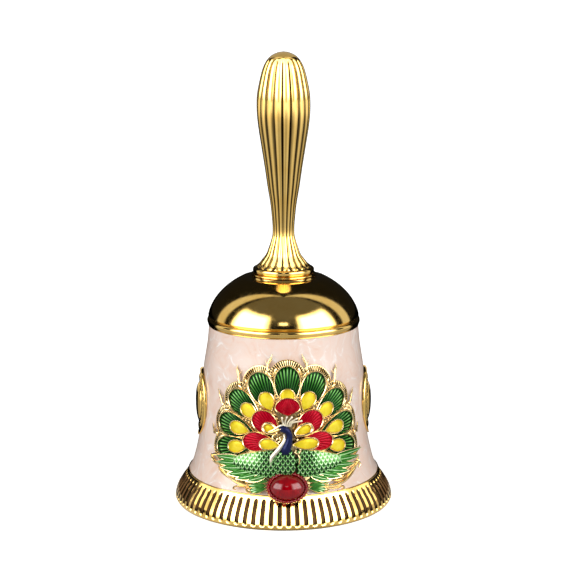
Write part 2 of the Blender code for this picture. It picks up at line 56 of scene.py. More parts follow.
FLUTES = 80
FLUTE_DEPTH = 0.42
FLUTE_HALF_WIDTH = 0.25
FLUTE_LOW = 0.95
FLUTE_HIGH = 7.55
# Painted shade on the skirt: the inside a little darker, and a dark band round the foot for its contact
# shadow.
INSIDE_SHADE_TONE = 0.45
FOOT_SHADOW_TONE = 0.2
HANDLE_RIBS = 18
FIRST_GROOVE_DEG = -5.4

WRAP_RADIUS = 22.5
FAN_CENTRE_V = 22.7
SIDES = ((-1, "left"), (1, "right"))


def curve(knots, x):
    """Smooth curve through (x, value) knots, with tangents from their neighbours. x may be an array."""
    kx, ky = np.array(knots, float).T
    low = np.maximum(np.arange(len(kx)) - 1, 0)
    high = np.minimum(np.arange(len(kx)) + 1, len(kx) - 1)
    slope = (ky[high] - ky[low]) / (kx[high] - kx[low])
    x = np.clip(x, kx[0], kx[-1])
    i = np.clip(np.searchsorted(kx, x, side="right") - 1, 0, len(kx) - 2)
    span = kx[i + 1] - kx[i]
    t = (x - kx[i]) / span
    return (
        ky[i] * (1 + 2 * t) * (1 - t) ** 2
        + ky[i + 1] * t * t * (3 - 2 * t)
        + span * slope[i] * t * (1 - t) ** 2
        - span * slope[i + 1] * t * t * (1 - t)
    )


def surface_radius(z):
    z = np.asarray(z, float)
    return np.where(z > SKIRT_TOP, curve(WAIST_POINTS, z), curve(SKIRT_POINTS, z))


def dome_radius(z):
    share = np.clip((np.asarray(z, float) - DOME_BASE) / DOME_HEIGHT, 0.0, 1.0)
    return DOME_RADIUS * np.sqrt(1.0 - share**DOME_POWER)


def full_turn(count):
    """Angles once round, in which the last point is the first again."""
    turn = np.linspace(0.0, 2 * np.pi, count + 1)
    turn[-1] = 0.0
    return turn


def smoothstep(x, low=0.0, high=1.0):
    t = np.clip((np.asarray(x, float) - low) / (high - low), 0.0, 1.0)
    return t * t * (3 - 2 * t)


def wrap(u, v, height):
    """Points of the flat layout, height millimetres proud of the bell's surface, in millimetres."""
    u, v, height = np.broadcast_arrays(*(np.asarray(a, float) for a in (u, v, height)))
    step = 0.25
    slope = (surface_radius(v + step) - surface_radius(v - step)) / (2 * step)
    tilt = np.arctan(-slope)
    angle = u / WRAP_RADIUS
    radius = surface_radius(v) + height * np.cos(tilt)
    rise = v + height * np.sin(tilt)
    return np.stack([radius * np.sin(angle), -radius * np.cos(angle), rise], -1)


# ---------------------------------------------------------------- meshes from point grids
class Solid:
    """Collects point grids into one mesh, with a tone and a gilt number for each point.

    tone runs from dark to light enamel, painted shade and painted highlights included. In gold 0 is
    near-black painted shade, 0.5 clean and 1 a pale painted highlight.
    gilt is 1 where bare gold shows in enamel.
    """

    def __init__(self):
        self.points, self.faces, self.tones, self.gilts = [], [], [], []
        self.count = 0

    def grid(self, points, tone=0.5, gilt=0.0):
        rows, cols = points.shape[:2]
        index = self.count + np.arange(rows * cols).reshape(rows, cols)
        quads = [index[:-1, :-1], index[:-1, 1:], index[1:, 1:], index[1:, :-1]]
        self.faces.append(np.stack(quads, -1).reshape(-1, 4))
        self.points.append(points.reshape(-1, 3))
        self.tones.append(np.broadcast_to(tone, (rows, cols)).reshape(-1))
        self.gilts.append(np.broadcast_to(gilt, (rows, cols)).reshape(-1))
        self.count += rows * cols

    def build(self, name, finish, nodes=(), body="bell", sharp=50.0):
        mesh = bpy.data.meshes.new(name)
        mesh.from_pydata(np.concatenate(self.points) * MM, [], np.concatenate(self.faces).tolist())
        for label, values in (("tone", self.tones), ("gilt", self.gilts)):
            layer = mesh.attributes.new(label, "FLOAT", "POINT")
            layer.data.foreach_set("value", np.concatenate(values).astype(np.float32))
        work = bmesh.new()
        work.from_mesh(mesh)
        bmesh.ops.remove_doubles(work, verts=work.verts, dist=2e-7)
        bmesh.ops.dissolve_degenerate(work, edges=work.edges, dist=1e-8)
        bmesh.ops.recalc_face_normals(work, faces=work.faces)
        work.to_mesh(mesh)
        work.free()
        mesh.shade_smooth()
        mesh.set_sharp_from_angle(angle=math.radians(sharp))
        mesh.materials.append(finish.material)
        obj = bpy.data.objects.new(name, mesh)
        bpy.context.scene.collection.objects.link(obj)
        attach(obj, body)
        if nodes:
            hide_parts(*nodes)
        return obj


def unit(a):
    return a / np.maximum(np.linalg.norm(a, axis=-1, keepdims=True), 1e-12)


def turned(solid, profile, segments, shape=None, tone=0.5):
    """Adds a solid of revolution. The profile is a closed (r, z) outline, or runs from axis to axis."""
    profile = np.array(profile, float)
    if profile[0, 0] != 0.0:
        profile = np.vstack([profile, profile[:1]])
    angle = full_turn(segments)[None, :]
    r, z = profile[:, :1], profile[:, 1:]
    radius = shape(angle, r, z) if shape else r
    points = np.broadcast_arrays(radius * np.sin(angle), -radius * np.cos(angle), z)
    solid.grid(np.stack(points, -1), tone)


def build_turned(name, finish, node, profile, segments, shape=None, **settings):
    piece = Solid()
    turned(piece, profile, segments, shape)
    piece.build(name, finish, [node], **settings)


def rounded(corners, radius, steps=5):
    """A closed (r, z) outline with every corner rounded off."""
    corners = np.array(corners, float)
    out = []
    for i, corner in enumerate(corners):
        back = corners[i - 1] - corner
        ahead = corners[(i + 1) % len(corners)] - corner
        reach = min(radius, 0.45 * np.linalg.norm(back), 0.45 * np.linalg.norm(ahead))
        start, end = corner + unit(back) * reach, corner + unit(ahead) * reach
        for t in np.linspace(0, 1, steps):
            out.append((1 - t) ** 2 * start + 2 * t * (1 - t) * corner + t * t * end)
    return np.array(out)


def smooth_path(points, count):
    """A Catmull-Rom curve through a few points."""
    p = np.array(points, float)
    p = np.vstack([2 * p[0] - p[1], p, 2 * p[-1] - p[-2]])
    out = []
    for x in np.linspace(0, len(p) - 3 - 1e-6, count):
        i, t = int(x), x - int(x)
        a, b, c, d = p[i : i + 4]
        square, cube = 2 * a - 5 * b + 4 * c - d, 3 * b - a - 3 * c + d
        out.append(0.5 * (2 * b + (c - a) * t + square * t**2 + cube * t**3))
    return np.array(out)


def tube(solid, path, radius, closed=False, sides=8, tall=1.0, tone=0.5, gilt=1.0):
    """Adds a round bar along layout points (u, v, height)."""
    path = np.array(path, float)
    spots = wrap(path[:, 0], path[:, 1], path[:, 2])
    out = unit(wrap(path[:, 0], path[:, 1], path[:, 2] + 1.0) - spots)
    if closed:
        ahead = unit(np.roll(spots, -1, axis=0) - np.roll(spots, 1, axis=0))
    else:
        ahead = unit(np.gradient(spots, axis=0))
    side = unit(np.cross(ahead, out))
    out = unit(np.cross(side, ahead))
    radius = np.broadcast_to(np.asarray(radius, float), (len(path),))[:, None, None]
    turn = full_turn(sides)[None, :, None]
    around = np.cos(turn) * side[:, None] + tall * np.sin(turn) * out[:, None]
    rings = spots[:, None] + radius * around
    if closed:
        rings = np.concatenate([rings, rings[:1]])
    else:
        first = np.repeat(spots[:1, None], sides + 1, axis=1)
        last = np.repeat(spots[-1:, None], sides + 1, axis=1)
        rings = np.concatenate([first, rings, last])
    solid.grid(rings, tone, gilt)


def taper(count, thick, start=0.3, end=0.3):
    """Radii that swell from one thin end and back to the other."""
    t = np.linspace(0, 1, count)
    rise = np.minimum(1.0, start + (1 - start) * smoothstep(t, 0, 0.35))
    fall = np.minimum(1.0, end + (1 - end) * smoothstep(1 - t, 0, 0.35))
    return thick * rise * fall


def bar(solid, points, thick, count=28, start=0.3, end=0.3, tall=1.0, tone=0.5, gilt=1.0, sides=8):
    tube(solid, smooth_path(points, count), taper(count, thick, start, end), False, sides, tall, tone, gilt)


def bead(solid, u, v, height, radius, tone=0.5, gilt=1.0, steps=8, flat=1.0):
    """Adds a small ball, flattened against the surface by flat."""
    centre = wrap(u, v, height)
    out = unit(wrap(u, v, height + 1.0) - centre)
    side = unit(np.cross([0.0, 0.0, 1.0], out))
    up = np.cross(out, side)
    polar = np.linspace(0, np.pi, steps)[:, None]
    turn = full_turn(2 * steps)[None, :]
    spread = radius * np.sin(polar)
    across = (spread * np.cos(turn))[..., None] * side + (spread * np.sin(turn))[..., None] * up
    solid.grid(centre + across + (flat * radius * np.cos(polar))[..., None] * out, tone, gilt)


# ---------------------------------------------------------------- teardrop cells
COLUMNS_PER_RIDGE = 8
SMOOTH_COLUMNS = 48


def drop_half(t, width, broad):
    """Half width of a teardrop at share t of its length, counted from the pointed root."""
    t = np.asarray(t, float)
    flank = np.sin(0.5 * np.pi * np.minimum(t / broad, 1.0))
    cap = np.sqrt(np.clip(1.0 - ((t - broad) / (1.0 - broad)) ** 2, 0.0, 1.0))
    return 0.5 * width * np.where(t < broad, flank, cap)


def drop_axes(root, tip):
    root, tip = np.array(root, float), np.array(tip, float)
    along = tip - root
    length = np.linalg.norm(along)
    along = along / length
    return root, along, np.array([-along[1], along[0]]), length


def drop_outline(root, tip, width, broad=0.66, count=44, grow=0.0):
    """Layout points (u, v) round a teardrop, evenly spread; grow moves them outwards."""
    root, along, side, length = drop_axes(root, tip)
    turn = 2 * np.pi * (np.arange(2 * count) + 0.5) / (2 * count)
    t = 0.5 + 0.5 * np.cos(turn)
    half = drop_half(t, width, broad) + grow
    reach = t * length + grow * np.cos(turn)
    return root + reach[:, None] * along + (np.sign(np.sin(turn)) * half)[:, None] * side


def drop_cell(solid, root, tip, width, floor, dome, pitch_deg=0.0, ridge=0.0, broad=0.66,
              tones=(0.15, 0.9), power=3.0, flat_tone=0.0):
    """Adds the enamel of one teardrop cell, with ridges that fan out from its pointed root.

    pitch_deg is the angle from ridge to ridge. A cell without ridges is smooth, and its flat_tone darkens
    towards the border as painted shade. In a ridged cell tones are the painted shade in the grooves and the
    painted highlight on the ridges.
    """
    root, along, side, length = drop_axes(root, tip)
    t = np.linspace(1e-3, 1.0, 400)
    half = drop_half(t, width, broad)
    turns, reaches = np.arctan2(half, t * length), np.hypot(half, t * length)
    widest = turns[0]
    columns = SMOOTH_COLUMNS
    if pitch_deg:
        columns = int(COLUMNS_PER_RIDGE * 2 * math.degrees(widest) / pitch_deg)
    turn = np.linspace(-widest, widest, columns + 1)[None, :]
    reach = np.interp(np.abs(turn), turns[::-1], reaches[::-1])
    reach[0, 0] = reach[0, -1] = 0.0
    share = np.sin(0.5 * np.pi * np.linspace(0.0, 1.0, 26))[:, None]
    rho = share * reach
    swell = (1.0 - share**power) * smoothstep(rho, 0.0, 1.4)
    height = floor + dome * swell
    # Smooth cells: painted shade, darker towards the border.
    tone = flat_tone * (0.45 + 0.55 * smoothstep(swell, 0.1, 0.9))
    if pitch_deg:
        wave = np.cos(2 * np.pi * np.degrees(turn) / pitch_deg)
        rise = smoothstep(rho, 0.12 * length, 0.4 * length) * (1.0 - share**10)
        height = height + ridge * wave * rise
        # Ridged cells: painted highlights on the ridges, stronger towards the head, painted shade in the
        # grooves, and darker at the very edge.
        glow = 0.35 + 0.65 * smoothstep(rho / length, 0.45, 0.92)
        lit = smoothstep(0.5 + 0.5 * wave, 0.25, 1.0) * glow * (1.0 - 0.75 * smoothstep(share, 0.93, 1.0))
        tone = tones[0] + (tones[1] - tones[0]) * lit
    spread = np.vstack([rho, rho[-1:], np.zeros_like(reach)])
    height = np.vstack([height, np.full((2, turn.size), floor - 1.0)])
    x, y = (spread * np.cos(turn))[..., None], (spread * np.sin(turn))[..., None]
    u, v = np.moveaxis(root + x * along + y * side, -1, 0)
    solid.grid(wrap(u, v, height), np.vstack([tone, tone[-1:], tone[-1:]]))


# Cell walls default to tone 0.6, a little of the pale painted highlight.
def wire_loop(solid, outline, height, radius, tall=1.0, sides=8, tone=0.6):
    path = np.column_stack([outline, np.full(len(outline), height)])
    tube(solid, path, radius, closed=True, sides=sides, tall=tall, tone=tone)


def walled_cell(cells, wires, root, tip, width, floor, dome, wall, broad=0.66, sides=8, **look):
    """A teardrop cell and the wire round it. wall is its points, gap, height, radius and tallness."""
    count, gap, height, radius, tall = wall
    drop_cell(cells, root, tip, width, floor, dome, broad=broad, **look)
    wire_loop(wires, drop_outline(root, tip, width, broad, count, gap), height, radius, tall, sides)


def fan_point(angle_deg, radius):
    angle = math.radians(angle_deg)
    return (radius * math.cos(angle), FAN_CENTRE_V + radius * math.sin(angle))


# ---------------------------------------------------------------- procedural materials
# Gold tone under 0.5 mixes in this near-black painted shade; tone over 0.5 mixes in the pale painted
# highlight, made rougher too.
SHADE_COLOUR = (0.016, 0.008, 0.003)
HIGHLIGHT_COLOUR = (1.0, 0.93, 0.76)
HIGHLIGHT_ROUGHNESS = 0.3
PEARL_STOPS = [
    (0.28, (0.80, 0.56, 0.45)), (0.45, (0.83, 0.64, 0.55)),
    (0.58, (0.83, 0.67, 0.60)), (0.7, (0.93, 0.86, 0.83)),
]
# Name, metallic, roughness, strength of the grain, and the colours from dark to light tone.
ENAMELS = [
    ("green_enamel", 0.2, 0.22, 0.06, [
        (0.0, (0.002, 0.014, 0.003)), (0.3, (0.008, 0.075, 0.008)), (0.62, (0.04, 0.21, 0.025)),
        (0.85, (0.19, 0.50, 0.12)), (1.0, (0.62, 0.90, 0.54)),
    ]),
    ("red_enamel", 0.2, 0.2, 0.08, [
        (0.0, (0.1, 0.0, 0.003)), (0.4, (0.31, 0.0, 0.008)), (0.8, (0.50, 0.002, 0.02)),
        (1.0, (0.68, 0.05, 0.08)),
    ]),
    ("yellow_enamel", 0.1, 0.25, 0.15, [
        (0.0, (0.5, 0.34, 0.01)), (0.5, (0.80, 0.63, 0.025)), (1.0, (0.98, 0.86, 0.13)),
    ]),
    ("navy_enamel", 0.3, 0.2, 0.1, [
        (0.0, (0.004, 0.006, 0.02)), (0.5, (0.013, 0.018, 0.07)), (1.0, (0.05, 0.07, 0.2)),
    ]),
]


class Tree:
    """Short names for building the node tree of a material or of the world."""

    def __init__(self, owner):
        owner.use_nodes = True
        self.nodes, self.links = owner.node_tree.nodes, owner.node_tree.links

    def put(self, node, inputs):
        """Links or sets inputs, given by name or number. A plain colour gets its alpha here."""
        for key, value in inputs.items():
            socket = node.inputs[key]
            if isinstance(value, bpy.types.NodeSocket):
                self.links.new(value, socket)
            else:
                socket.default_value = (*value, 1.0) if socket.type == "RGBA" else value
        return node

    def add(self, kind, inputs=None, **settings):
        node = self.nodes.new("ShaderNode" + kind)
        for name, value in settings.items():
            setattr(node, name, value)
        return self.put(node, inputs or {})

    def do(self, operation, a, b=0.0, c=0.0):
        return self.add("Math", {0: a, 1: b, 2: c}, operation=operation).outputs[0]

    def vector(self, operation, a, b=(0.0, 0.0, 0.0)):
        node = self.add("VectorMath", {0: a, 1: b}, operation=operation)
        return node.outputs["Value" if operation in ("DOT_PRODUCT", "LENGTH") else "Vector"]

    def span(self, value, low, high, from_low=0.0, from_high=1.0, **settings):
        """Runs from low to high while the value runs from from_low to from_high."""
        ends = {"Value": value, "From Min": from_low, "From Max": from_high, "To Min": low, "To Max": high}
        return self.add("MapRange", ends, **settings).outputs["Result"]

    def edge(self, value, low, high):
        """0 below low and 1 above high, smooth between."""
        return self.span(value, 0.0, 1.0, low, high, interpolation_type="SMOOTHSTEP")

    def band(self, value, low, high, soft):
        """1 between low and high, with soft edges."""
        rise = self.edge(value, low - soft, low + soft)
        return self.do("MULTIPLY", rise, self.edge(value, high + soft, high - soft))

    def noise(self, scale, detail=3.0, rough=0.6, distortion=0.0, stretch=(1.0, 1.0, 1.0), where=None):
        """Noise in object space. scale counts features per metre."""
        if where is None:
            spot = self.add("TexCoord").outputs["Object"]
            where = self.add("Mapping", {"Vector": spot, "Scale": stretch}).outputs["Vector"]
        look = {"Vector": where, "Scale": scale, "Detail": detail, "Roughness": rough}
        return self.add("TexNoise", {**look, "Distortion": distortion}).outputs

    def ramp(self, value, stops):
        node = self.add("ValToRGB", {"Fac": value})
        elements = node.color_ramp.elements
        while len(elements) < len(stops):
            elements.new(0.5)
        for element, (place, colour) in zip(elements, stops):
            element.position = place
            element.color = (*colour, 1.0)
        return node.outputs["Color"]

    def mix(self, share, a, b):
        """Colour a where share is 0 and colour b where it is 1."""
        return self.add("Mix", {0: share, 6: a, 7: b}, data_type="RGBA").outputs[2]

    def attribute(self, label):
        return self.add("Attribute", attribute_name=label).outputs["Fac"]

    def turn_from_camera(self, spot):
        """Angle in degrees between a vector and the camera's side of the axis, level with the floor."""
        kinds = {"vector_type": "VECTOR", "convert_from": "CAMERA", "convert_to": "WORLD"}
        view = self.add("VectorTransform", {0: (0.0, 0.0, -1.0)}, **kinds)
        level = self.vector("MULTIPLY", view.outputs[0], (1.0, 1.0, 0.0))
        front = self.vector("DOT_PRODUCT", spot, level)
        right = self.vector("DOT_PRODUCT", spot, self.vector("CROSS_PRODUCT", (0.0, 0.0, 1.0), level))
        turn = self.do("MULTIPLY", self.do("ARCTAN2", right, front), 180.0 / math.pi)
        return self.do("ABSOLUTE", turn)


class Finish(Tree):
    """A material, and the slot of the record that it shows."""

    def __init__(self, name, slot):
        self.material, self.slot = bpy.data.materials.new(name), slot
        super().__init__(self.material)
        self.shader = self.nodes["Principled BSDF"]

    def look(self, inputs, height=None, distance=0.0):
        """Sets the shader, with a bump that is distance metres high."""
        self.put(self.shader, inputs)
        if height is not None:
            bump = self.add("Bump", {"Height": height, "Strength": 1.0, "Distance": distance})
            self.put(self.shader, {"Normal": bump.outputs["Normal"]})


def gold_finish(name, slot, bright, deep, rough_low, rough_high):
    """Polished plating: cloudy tint and polish, fine waves, near-black painted shade where tone is low and a
    pale, rougher painted highlight where it is high.
    """
    finish = Finish(name, slot)
    tone = finish.attribute("tone")
    tint = finish.ramp(finish.noise(160.0, 4.0)["Fac"], [(0.3, deep), (0.62, bright)])
    shaded = finish.mix(finish.span(tone, 0.0, 1.0, 0.5, 0.0), tint, SHADE_COLOUR)
    highlight = finish.span(tone, 0.0, 1.0, 0.5, 1.0)
    grain = finish.span(finish.noise(900.0)["Fac"], rough_low, rough_high, 0.3, 0.7)
    look = {
        "Base Color": finish.mix(highlight, shaded, HIGHLIGHT_COLOUR),
        "Metallic": 1.0,
        "Roughness": finish.do("MULTIPLY_ADD", highlight, HIGHLIGHT_ROUGHNESS, grain),
    }
    finish.look(look, finish.noise(420.0, 2.0, 0.5)["Fac"], 0.000004)
    return finish


def enamel_finish(name, metallic, roughness, streak, stops):
    """Glassy enamel: tone picks the depth of colour, painted shade and painted highlights included, and a
    fine grain breaks it up.
    """
    finish = Finish(name, name)
    gilt = finish.attribute("gilt")
    grain = finish.span(finish.noise(700.0)["Fac"], -streak, streak, 0.25, 0.75)
    depth = finish.do("ADD", finish.attribute("tone"), grain)
    look = {
        "Base Color": finish.mix(gilt, finish.ramp(depth, stops), (0.9, 0.62, 0.2)),
        "Metallic": finish.span(gilt, metallic, 1.0),
        "Roughness": finish.span(gilt, roughness, 0.16),
        "Specular IOR Level": 0.02,
        "Coat Weight": 0.09,
        "Coat Roughness": 0.04,
    }
    finish.look(look, finish.noise(500.0, 2.0, 0.5)["Fac"], 0.00001)
    return finish


def pearl_finish():
    """Pink pearl enamel: pale brush-like swirls of pearl over a peach pink, under a clear glaze."""
    finish = Finish("pink_pearl_enamel", "pink_enamel")
    push = {
        0: finish.noise(70.0, 2.0, 0.5)["Color"],
        1: (0.02, 0.02, 0.02),
        2: finish.add("TexCoord").outputs["Object"],
    }
    pushed = finish.add("VectorMath", push, operation="MULTIPLY_ADD").outputs[0]
    stroke = finish.noise(210.0, 5.0, 0.55, 1.6, where=pushed)["Fac"]
    look = {
        "Base Color": finish.ramp(stroke, PEARL_STOPS),
        "Roughness": 0.38,
        "Sheen Weight": 0.15,
        "Coat Weight": 0.55,
        "Coat Roughness": 0.06,
    }
    finish.look(look, stroke, 0.00003)
    return finish


def ruby_finish():
    """Deep red glass with painted light: lighter where it is looked at square on and darker towards its edges
    as painted shade, with darker streaks down it as painted reflections of the pleats.
    """
    finish = Finish("ruby_glass", "ruby_stone")
    facing = finish.add("LayerWeight", {"Blend": 0.35}).outputs["Facing"]
    rim = finish.ramp(facing, [(0.0, (0.32, 0.0, 0.004)), (0.75, (0.07, 0.0, 0.001))])
    streak = finish.span(finish.noise(600.0, stretch=(2.2, 1.0, 0.35))["Fac"], 0.0, 0.75, 0.4, 0.7)
    look = {
        "Base Color": finish.mix(streak, rim, (0.12, 0.0, 0.004)),
        "Roughness": 0.1,
        "Specular IOR Level": 0.1,
        "Coat Weight": 0.8,
        "Coat IOR": 1.5,
        "Coat Roughness": 0.02,
    }
    finish.look(look)
    return finish


# ---------------------------------------------------------------- body of the bell
def flute_place(angle):
    """Distance from the middle of the nearest groove of the skirt, in half widths of a groove."""
    place = (np.degrees(angle) * FLUTES / 360.0 + 0.5) % 1.0 - 0.5
    return np.abs(place) / FLUTE_HALF_WIDTH


def flute_window(place, z):
    """1 over the height of a groove and 0 past its rounded ends."""
    end = 0.35 * np.minimum(place, 1.0) ** 2
    window = smoothstep(z, FLUTE_LOW + end, FLUTE_LOW + end + 0.3)
    return window * (1.0 - smoothstep(z, FLUTE_HIGH - end - 0.3, FLUTE_HIGH - end))


def flute_depth(angle, z):
    """How far a groove of the skirt lies below the ribs, at an angle and height."""
    place = flute_place(angle)
    return FLUTE_DEPTH * smoothstep(1.0 - place, 0.0, 0.4) * flute_window(place, z)


def flute_shade(angle, z):
    """Painted shade in a groove. It reaches a little over the edges of the ribs."""
    place = flute_place(angle)
    return smoothstep(1.25 - place, 0.0, 0.2) * flute_window(place, z)


SKIRT_FOOT = [(29.3, 0.0), (29.62, 0.12)]
SKIRT_INSIDE = [
    (26.12, SKIRT_TOP), (25.35, SKIRT_TOP + 0.02), (24.4, 9.6), (23.9, 9.6), (24.0, 8.2), (25.0, 6.4),
    (26.5, 4.0), (27.5, 2.2), (27.7, 1.0), (27.75, 0.25), (27.95, 0.0),
]
DOME_BEAD = [
    (20.25, 49.28), (20.55, 49.4), (20.72, 49.75), (20.78, 50.15), (20.72, 50.6), (20.5, 50.95), (20.2, 51.1),
]
DOME_GROOVE = [(20.35, 51.2), (20.2, 51.35), (20.32, 51.52)]
DOME_CROWN = [
    (9.2, 61.95), (9.05, 62.15), (8.9, 62.4), (8.5, CROWN_Z), (1.65, CROWN_Z), (1.65, 60.3),
]


def at_radius(heights, inset=0.0):
    """Points (r, z) of the bell's surface, or inset millimetres below it."""
    return [(float(surface_radius(z)) - inset, z) for z in heights]


def build_casting(gold):
    """The gold casting: fluted skirt with a plain rim, and the dome with its bead and groove."""

    def on_outside(r, z, margin):
        return r > surface_radius(np.clip(z, 0.5, SKIRT_TOP)) - margin

    def fluted(angle, r, z):
        return r - np.where(on_outside(r, z, 0.15) & (z > 0.7), flute_depth(angle, z), 0.0)

    skirt = Solid()
    heights = np.concatenate([[0.35, 0.6, 0.85], np.linspace(FLUTE_LOW, 7.7, 38), [7.85, 8.0, 8.15]])
    turned(skirt, SKIRT_FOOT + at_radius(heights) + SKIRT_INSIDE, FLUTES * 16, fluted)
    x, y, z = skirt.points[0].T
    outside = on_outside(np.hypot(x, y), z, 0.8)
    # Tones of the skirt: painted shade in the grooves, inside and round the foot.
    skirt.tones[0] = np.where(outside, 0.5 - 0.5 * flute_shade(np.arctan2(x, -y), z), INSIDE_SHADE_TONE)
    skirt.tones[0][outside & (z < 0.6)] = FOOT_SHADOW_TONE
    skirt.build("bell_skirt", gold, ["bell_shell"], sharp=60.0)

    dome = Solid()
    inner_z = np.linspace(60.3, 50.5, 14)
    share = np.clip((inner_z - DOME_BASE) / 11.2, 0, 1)
    profile = DOME_BEAD + DOME_GROOVE
    profile += [(float(dome_radius(z)), z) for z in np.linspace(51.75, 61.9, 46)]
    profile += DOME_CROWN + list(zip(17.9 * np.sqrt(1 - share**DOME_POWER), inner_z))
    profile += at_radius(np.linspace(49.2, 9.6, 30), INNER_SKIN)
    profile += at_radius((9.6, 20.0, 35.0, 49.2), 1.1)
    turned(dome, profile, 256)
    dome.build("bell_dome", gold, sharp=40.0)


def build_waist(pearl, gold):
    sleeve = Solid()
    heights = np.linspace(SKIRT_TOP + 0.25, WAIST_TOP - 0.12, 90)
    wobble = np.random.default_rng(7).normal(size=6) * 0.02

    def uneven(angle, r, z):
        wave = sum(w * np.sin((k + 2) * angle + 3 * k + z / (5.0 + k)) for k, w in enumerate(wobble))
        return r + np.where(r > surface_radius(z) - 0.3, wave, 0.0)

    foot = SKIRT_TOP + 0.1
    profile = at_radius((WAIST_TOP - 0.12, 40.0, 30.0, 20.0, 13.0, foot), 0.55)
    profile += at_radius([foot], 0.12) + at_radius(heights)
    turned(sleeve, profile, 240, uneven)
    sleeve.build("waist_pearl", pearl, ["waist_enamel"])
    border = Solid()
    u = full_turn(240)[:-1] * WRAP_RADIUS
    for z, radius, wire in ((SKIRT_TOP + 0.05, 26.12, 0.22), (WAIST_TOP - 0.05, 20.32, 0.2)):
        path = np.stack(np.broadcast_arrays(u, z, radius - float(surface_radius(z))), -1)
        tube(border, path, wire, closed=True)
    border.build("waist_borders", gold)


def rib_place(angle):
    """Place across a rib of the handle: 0 on its crest and -0.5 or 0.5 in the grooves beside it."""
    return (np.degrees(angle) - FIRST_GROOVE_DEG) * HANDLE_RIBS / 360.0 % 1.0 - 0.5


def above_ribs(z):
    """0 beside the ribs of the handle and 1 on its smooth cap."""
    return smoothstep(z, 119.5, 120.7)


def handle_shape(angle, r, z):
    crest = curve(HANDLE_POINTS, z)
    round_rib = np.sqrt(np.clip(1.0 - (2 * np.abs(rib_place(angle))) ** 2 * 0.97, 0.0, 1.0))
    depth = np.clip(0.125 * crest, 0.3, 0.85) * (1.0 - above_ribs(z))
    depth = np.where(z < 67.0, np.maximum(depth, 0.85), depth)
    outside = (r > crest - 0.02) & (z > 64.9)
    return r - np.where(outside, depth * (1.0 - round_rib), 0.0)


def build_handle(gold):
    handle = Solid()
    levels = [np.linspace(65.0, 76.0, 40), np.linspace(76.6, 118.4, 60), np.linspace(118.7, 122.3, 22)]
    profile = [(0.0, 72.9), (1.65, 72.9), (1.65, 64.75), (6.9, 64.75), (7.4, 64.8)]
    profile += [(float(curve(HANDLE_POINTS, z)), z) for z in np.concatenate(levels)] + [(0.0, 122.4)]
    turned(handle, profile, HANDLE_RIBS * 16, handle_shape)
    x, y, z = handle.points[0].T
    # Painted shade in the grooves between the ribs, a little wider over the grip.
    grip = smoothstep(z, 72.0, 76.0) * (1.0 - smoothstep(z, 103.0, 109.0))
    groove_shade = smoothstep(np.abs(rib_place(np.arctan2(x, -y))) + 0.07 * grip, 0.3, 0.46)
    handle.tones[0] = 0.5 - 0.46 * groove_shade * (1.0 - above_ribs(z))
    handle.build("handle_ribbed", gold, ["handle"], sharp=60.0)

    collar = Solid()
    turned(collar, rounded([(1.7, 62.6), (8.75, 62.6), (8.75, 63.1), (1.7, 63.1)], 0.3), 128)
    turned(collar, rounded([(1.7, 63.05), (8.3, 63.05), (8.3, 64.7), (1.7, 64.7)], 0.75, 9), 128)
    collar.build("handle_collar_ring", gold, ["handle_collar"], sharp=40.0)


# ---------------------------------------------------------------- peacock
GREEN_TIP = 19.3
GREEN_ROOT = 8.4
FRINGE_TURN_DEG = 118.0
FRINGE_BARBS = 30
# Angle in the fan, width of the green cell, and tip, root and width of its yellow eye.
FAN = [
    (191.0, 5.5, 15.5, 10.2, 3.3), (168.5, 6.0, 15.3, 9.9, 3.4), (142.5, 6.2, 14.7, 9.6, 3.5),
    (116.0, 6.2, 14.1, 9.0, 3.6), (90.0, 6.3, 13.7, 9.0, 3.5), (64.0, 6.2, 14.1, 9.0, 3.6),
    (37.5, 6.2, 14.7, 9.6, 3.5), (11.5, 6.0, 15.3, 9.9, 3.4), (-11.0, 5.5, 15.5, 10.2, 3.3),
]
# Angle, root, tip and width of each red cell. The middle one is cut short above the crest.
RED_FAN = [
    (183.5, 3.0, 10.9, 4.9), (138.5, 3.0, 10.7, 5.5), (90.0, 6.9, 11.4, 5.8),
    (41.5, 3.0, 10.7, 5.6), (-3.5, 3.0, 11.2, 5.0),
]
# Root, tip, width and wire of the small yellow eyes, by number of the red cell they sit on.
SMALL_EYES = {
    1: ((-2.0, 21.6), (-6.5, 21.9), 2.8, 0.22),
    2: ((-2.8, 25.3), (-5.5, 26.7), 2.0, 0.4),
    4: ((2.0, 24.7), (5.4, 26.4), 2.2, 0.42),
    5: ((1.2, 21.7), (7.2, 21.9), 2.9, 0.22),
}


def plate_radius(angle_deg):
    """Distance of the plate's outline from the fan's centre."""
    angle = (np.asarray(angle_deg, float) + 90.0) % 360.0 - 90.0
    off = np.min([np.abs(angle - feather[0]) for feather in FAN], axis=0) / 13.0
    scallop = 18.0 + 1.6 * np.sqrt(np.clip(1.0 - off**2, 0.0, 1.0))
    below = np.abs((angle + 90.0 + 180.0) % 360.0 - 180.0)
    lower = curve([(0.0, 13.6), (18.0, 13.9), (37.0, 14.6), (53.0, 16.6), (68.0, 19.0), (80.0, 19.0)], below)
    return np.where(below < 78.0, lower, scallop)


